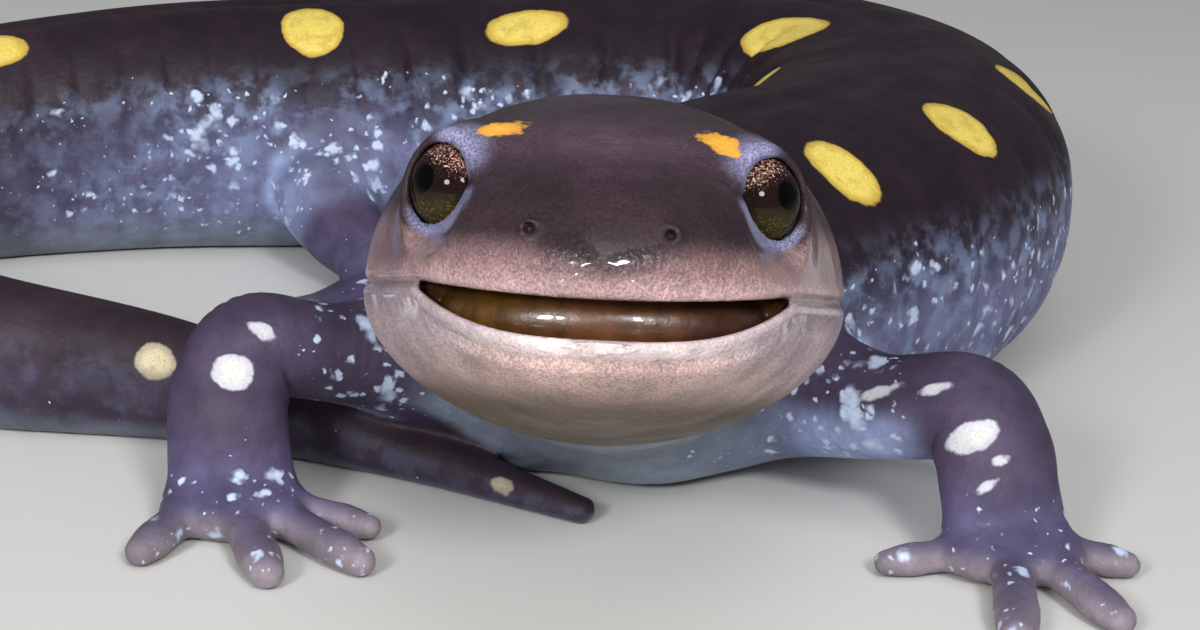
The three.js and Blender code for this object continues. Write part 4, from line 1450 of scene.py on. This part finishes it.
def iris_material():
    n = Nodes("iris")
    above = n.attribute("above")
    streaks = n.noise(11000.0, 4.0, 0.65)
    inner = n.math("MULTIPLY_ADD", n.attribute("inner"), 0.5, above)
    upper = n.ramp(inner, 0.3, 1.3, 0.68, 0.49)
    threshold = n.math("ADD", upper, n.ramp(above, -0.3, -1.2, 0.0, -0.15))
    shown = n.ramp(n.math("SUBTRACT", streaks, threshold), 0.0, 0.09)
    shown = n.math("MULTIPLY", shown, n.ramp(n.attribute("reach"), 1.75, 1.55))
    copper = n.mix(n.ramp(n.noise(5200.0), 0.4, 0.6), rgb(COPPER), rgb(PALE_COPPER))
    metal = n.mix(n.ramp(above, -0.5, 0.1), rgb(OLD_GOLD), copper)
    # Painted reflection: the iris goes olive towards its lower edge.
    iris_ground_and_reflection = n.mix(n.ramp(above, -0.3, -1.2), rgb(DARK_IRIS), rgb(IRIS_OLIVE_REFLECTION))
    colour = n.mix(shown, iris_ground_and_reflection, metal)
    pupil = n.ramp(n.attribute("reach"), PUPIL_RADIUS + 0.05, PUPIL_RADIUS - 0.03)
    colour = n.mix(pupil, colour, rgb(PUPIL))
    n.link(colour, n.shader.inputs["Base Color"])
    n.shader.inputs["Roughness"].default_value = 0.5
    n.shader.inputs["Specular IOR Level"].default_value = 0.0
    n.shader.inputs["Coat Weight"].default_value = 0.4
    n.shader.inputs["Coat Roughness"].default_value = 0.04
    n.shader.inputs["Coat IOR"].default_value = 1.38
    return n.material


def make_eye(side, name, material):
    profile, poles = eyeball_profile()
    faces = turned_faces(len(profile), EYE_SIDES)
    ball = make_mesh(f"eyeball_{name}", eye_shape(side, profile, poles), faces)
    reach = np.repeat([radius for radius, _ in profile], EYE_SIDES)
    turn = np.tile(np.arange(EYE_SIDES) * 2 * np.pi / EYE_SIDES, len(profile))
    add_attribute(ball, "reach", np.append(reach, [0, 0]))
    add_attribute(ball, "above", np.append(reach * np.sin(turn * side), [0, 0]))
    add_attribute(ball, "inner", np.append(reach * np.cos(turn), [0, 0]))
    ball.data.materials.append(material)
    return ball


TONGUE = ((0.0, -9.8, 0.0), (6.6, 4.7, 1.9))
TONGUE_DOME = (-0.9, 4.4)  # height of its foremost line, and how round it is above and below


def make_tongue():
    around, rings = 160, 48
    centre, radii = TONGUE
    tilt = np.linspace(0, math.pi, rings + 2)[1:-1, None]
    turn = -np.arange(around) * 2 * math.pi / around
    z = np.cos(tilt) * radii[2]
    foremost, roundness = TONGUE_DOME
    full = np.sin(tilt) ** 0.4 * np.sqrt(1 - ((z + centre[2] - foremost) / roundness) ** 2)
    x = full * np.sign(np.cos(turn)) * np.abs(np.cos(turn)) ** 0.85
    y = full * np.sin(turn)
    ripple = 0.03 * np.sin(9 * x + 2 * y)
    z = np.broadcast_to(z, x.shape)
    points = np.stack([x * radii[0], y * radii[1] + ripple, z], axis=-1)
    poles = np.array([[0, 0, radii[2]], [0, 0, -radii[2]]])
    points = np.concatenate([points.reshape(-1, 3), poles]) + np.array(centre)
    faces = turned_faces(rings, around)
    tongue = make_mesh("tongue_soft", from_head(points), faces)
    x = points[:, 0]
    shade = mix(MOUTH, OLIVE, smooth_step(-1.0, -3.5, x))
    # Painted shade: the tongue darkens towards the animal's left.
    shade = mix(shade, MOUTH_SHADE_AND_MOTTLE, smooth_step(1.5, 4.0, x))
    streaks = 1 + 0.16 * np.sin(5.3 * x) + 0.12 * np.sin(13.7 * x + 1.3) + 0.10 * np.sin(29 * x)
    add_colour(tongue, "tint", shade * streaks[:, None])
    n = Nodes("tongue_wet")
    mottle = n.ramp(n.noise(420.0, 3.0), 0.35, 0.65, 0.0, 0.5)
    colour = n.mix(mottle, n.attribute("tint", "Color"), rgb(MOUTH_SHADE_AND_MOTTLE * 1.5))
    n.link(colour, n.shader.inputs["Base Color"])
    n.shader.inputs["Roughness"].default_value = 0.35
    n.link(n.ramp(n.noise(2600.0), 0.46, 0.60, 0.04, 0.9), n.shader.inputs["Coat Weight"])
    n.shader.inputs["Coat Roughness"].default_value = 0.06
    n.link(n.bump(n.noise(1100.0, 4.0), 0.00012, 0.5), n.shader.inputs["Normal"])
    tongue.data.materials.append(n.material)
    return tongue


# ---------- put together

FLESH = [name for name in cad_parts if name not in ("eye_left", "eye_right", "tongue")]

skin = make_skin()
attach(skin, "root")
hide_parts(*FLESH)

iris = iris_material()
for eye_side, eye_name in ((1, "left"), (-1, "right")):
    ball = make_eye(eye_side, eye_name, iris)
    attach(ball, "root")
    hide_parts(f"eye_{eye_name}")

tongue = make_tongue()
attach(tongue, "root")
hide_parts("tongue")

# ---------- stage and light


FLOOR_SIZE = 1.6  # metres
FLOOR_DROP = 0.00004  # the floor is this far below the flats it carries, so that they don't mix


def make_floor():
    bpy.ops.mesh.primitive_plane_add(size=FLOOR_SIZE, location=(0, 0, -FLOOR_DROP))
    floor = bpy.context.object
    floor.name = "floor"
    material = bpy.data.materials.new("pale_floor")
    material.use_nodes = True
    shader = material.node_tree.nodes["Principled BSDF"]
    shader.inputs["Base Color"].default_value = (0.62, 0.62, 0.60, 1)
    shader.inputs["Roughness"].default_value = 0.9
    floor.data.materials.append(material)


def make_light(name, place, target, size, power, reflected=True):
    """A soft oval lamp: its size is in metres and its power in watts."""
    data = bpy.data.lights.new(name, "AREA")
    data.shape = "ELLIPSE"
    data.size, data.size_y = size
    data.energy = power
    light = bpy.data.objects.new(name, data)
    light.visible_glossy = reflected
    light.location = place
    aim = Vector(target) - Vector(place)
    light.rotation_mode = "QUATERNION"
    light.rotation_quaternion = aim.to_track_quat("-Z", "Y")
    bpy.context.scene.collection.objects.link(light)


def make_world(strength):
    world = bpy.data.worlds.new("studio")
    world.use_nodes = True
    background = world.node_tree.nodes["Background"]
    background.inputs[0].default_value = (0.96, 0.95, 1.0, 1)
    background.inputs[1].default_value = strength
    bpy.context.scene.world = world


def place_from(target, azimuth, height, distance):
    """A place seen from target at an azimuth left or right of its front, and at a height."""
    azimuth, height = math.radians(azimuth), math.radians(height)
    way = (
        math.sin(azimuth) * math.cos(height),
        -math.cos(azimuth) * math.cos(height),
        math.sin(height),
    )
    return tuple(np.array(target) + np.array(way) * distance)


make_floor()
make_world(0.22)
bpy.context.scene.view_settings.view_transform = "Standard"
head_here = tuple(to_row(HEAD_CENTRE))
body_here = tuple(to_row(np.array([0.0, 25.0, 5.0])))
make_light("box_left", place_from(head_here, -24, 25, 0.30), head_here, (0.065, 0.06), 0.50)
make_light("box_right", place_from(head_here, 18, 33, 0.30), head_here, (0.065, 0.06), 0.50)
make_light("fill", place_from(head_here, -4, 34, 0.42), head_here, (0.34, 0.26), 0.58, False)
make_light("overhead", place_from(body_here, 20, 70, 0.45), body_here, (0.30, 0.30), 0.30)

# ---------- camera

CAMERA_DISTANCE = 120.0  # to the middle of the head
CAMERA_PITCH = math.radians(18.0)
CAMERA_ROLL = math.radians(2.7)
FOCAL_PIXELS = 2844.0
PICTURE_WIDTH = 1200.0
SENSOR = 36.0
AXIS_OFFSET = 3.0  # pixels by which the optical axis is right of the picture's middle

view = np.array([0.0, math.cos(CAMERA_PITCH), -math.sin(CAMERA_PITCH)])
level_right = np.array([1.0, 0.0, 0.0])
level_up = np.cross(level_right, view)
right = level_right * math.cos(CAMERA_ROLL) + level_up * math.sin(CAMERA_ROLL)
upwards = level_up * math.cos(CAMERA_ROLL) - level_right * math.sin(CAMERA_ROLL)
stand = to_row(HEAD_CENTRE - view * CAMERA_DISTANCE)

camera_data = bpy.data.cameras.new("camera")
camera_data.sensor_width = SENSOR
camera_data.lens = FOCAL_PIXELS * SENSOR / PICTURE_WIDTH
camera_data.shift_x = -AXIS_OFFSET / PICTURE_WIDTH
camera_data.clip_start = 0.005
camera_data.clip_end = 10
camera = bpy.data.objects.new("camera", camera_data)
bpy.context.scene.collection.objects.link(camera)
turn = Matrix([list(right), list(upwards), list(-view)]).transposed()
camera.matrix_world = Matrix.Translation(Vector(stand)) @ turn.to_4x4()
bpy.context.scene.camera = camera
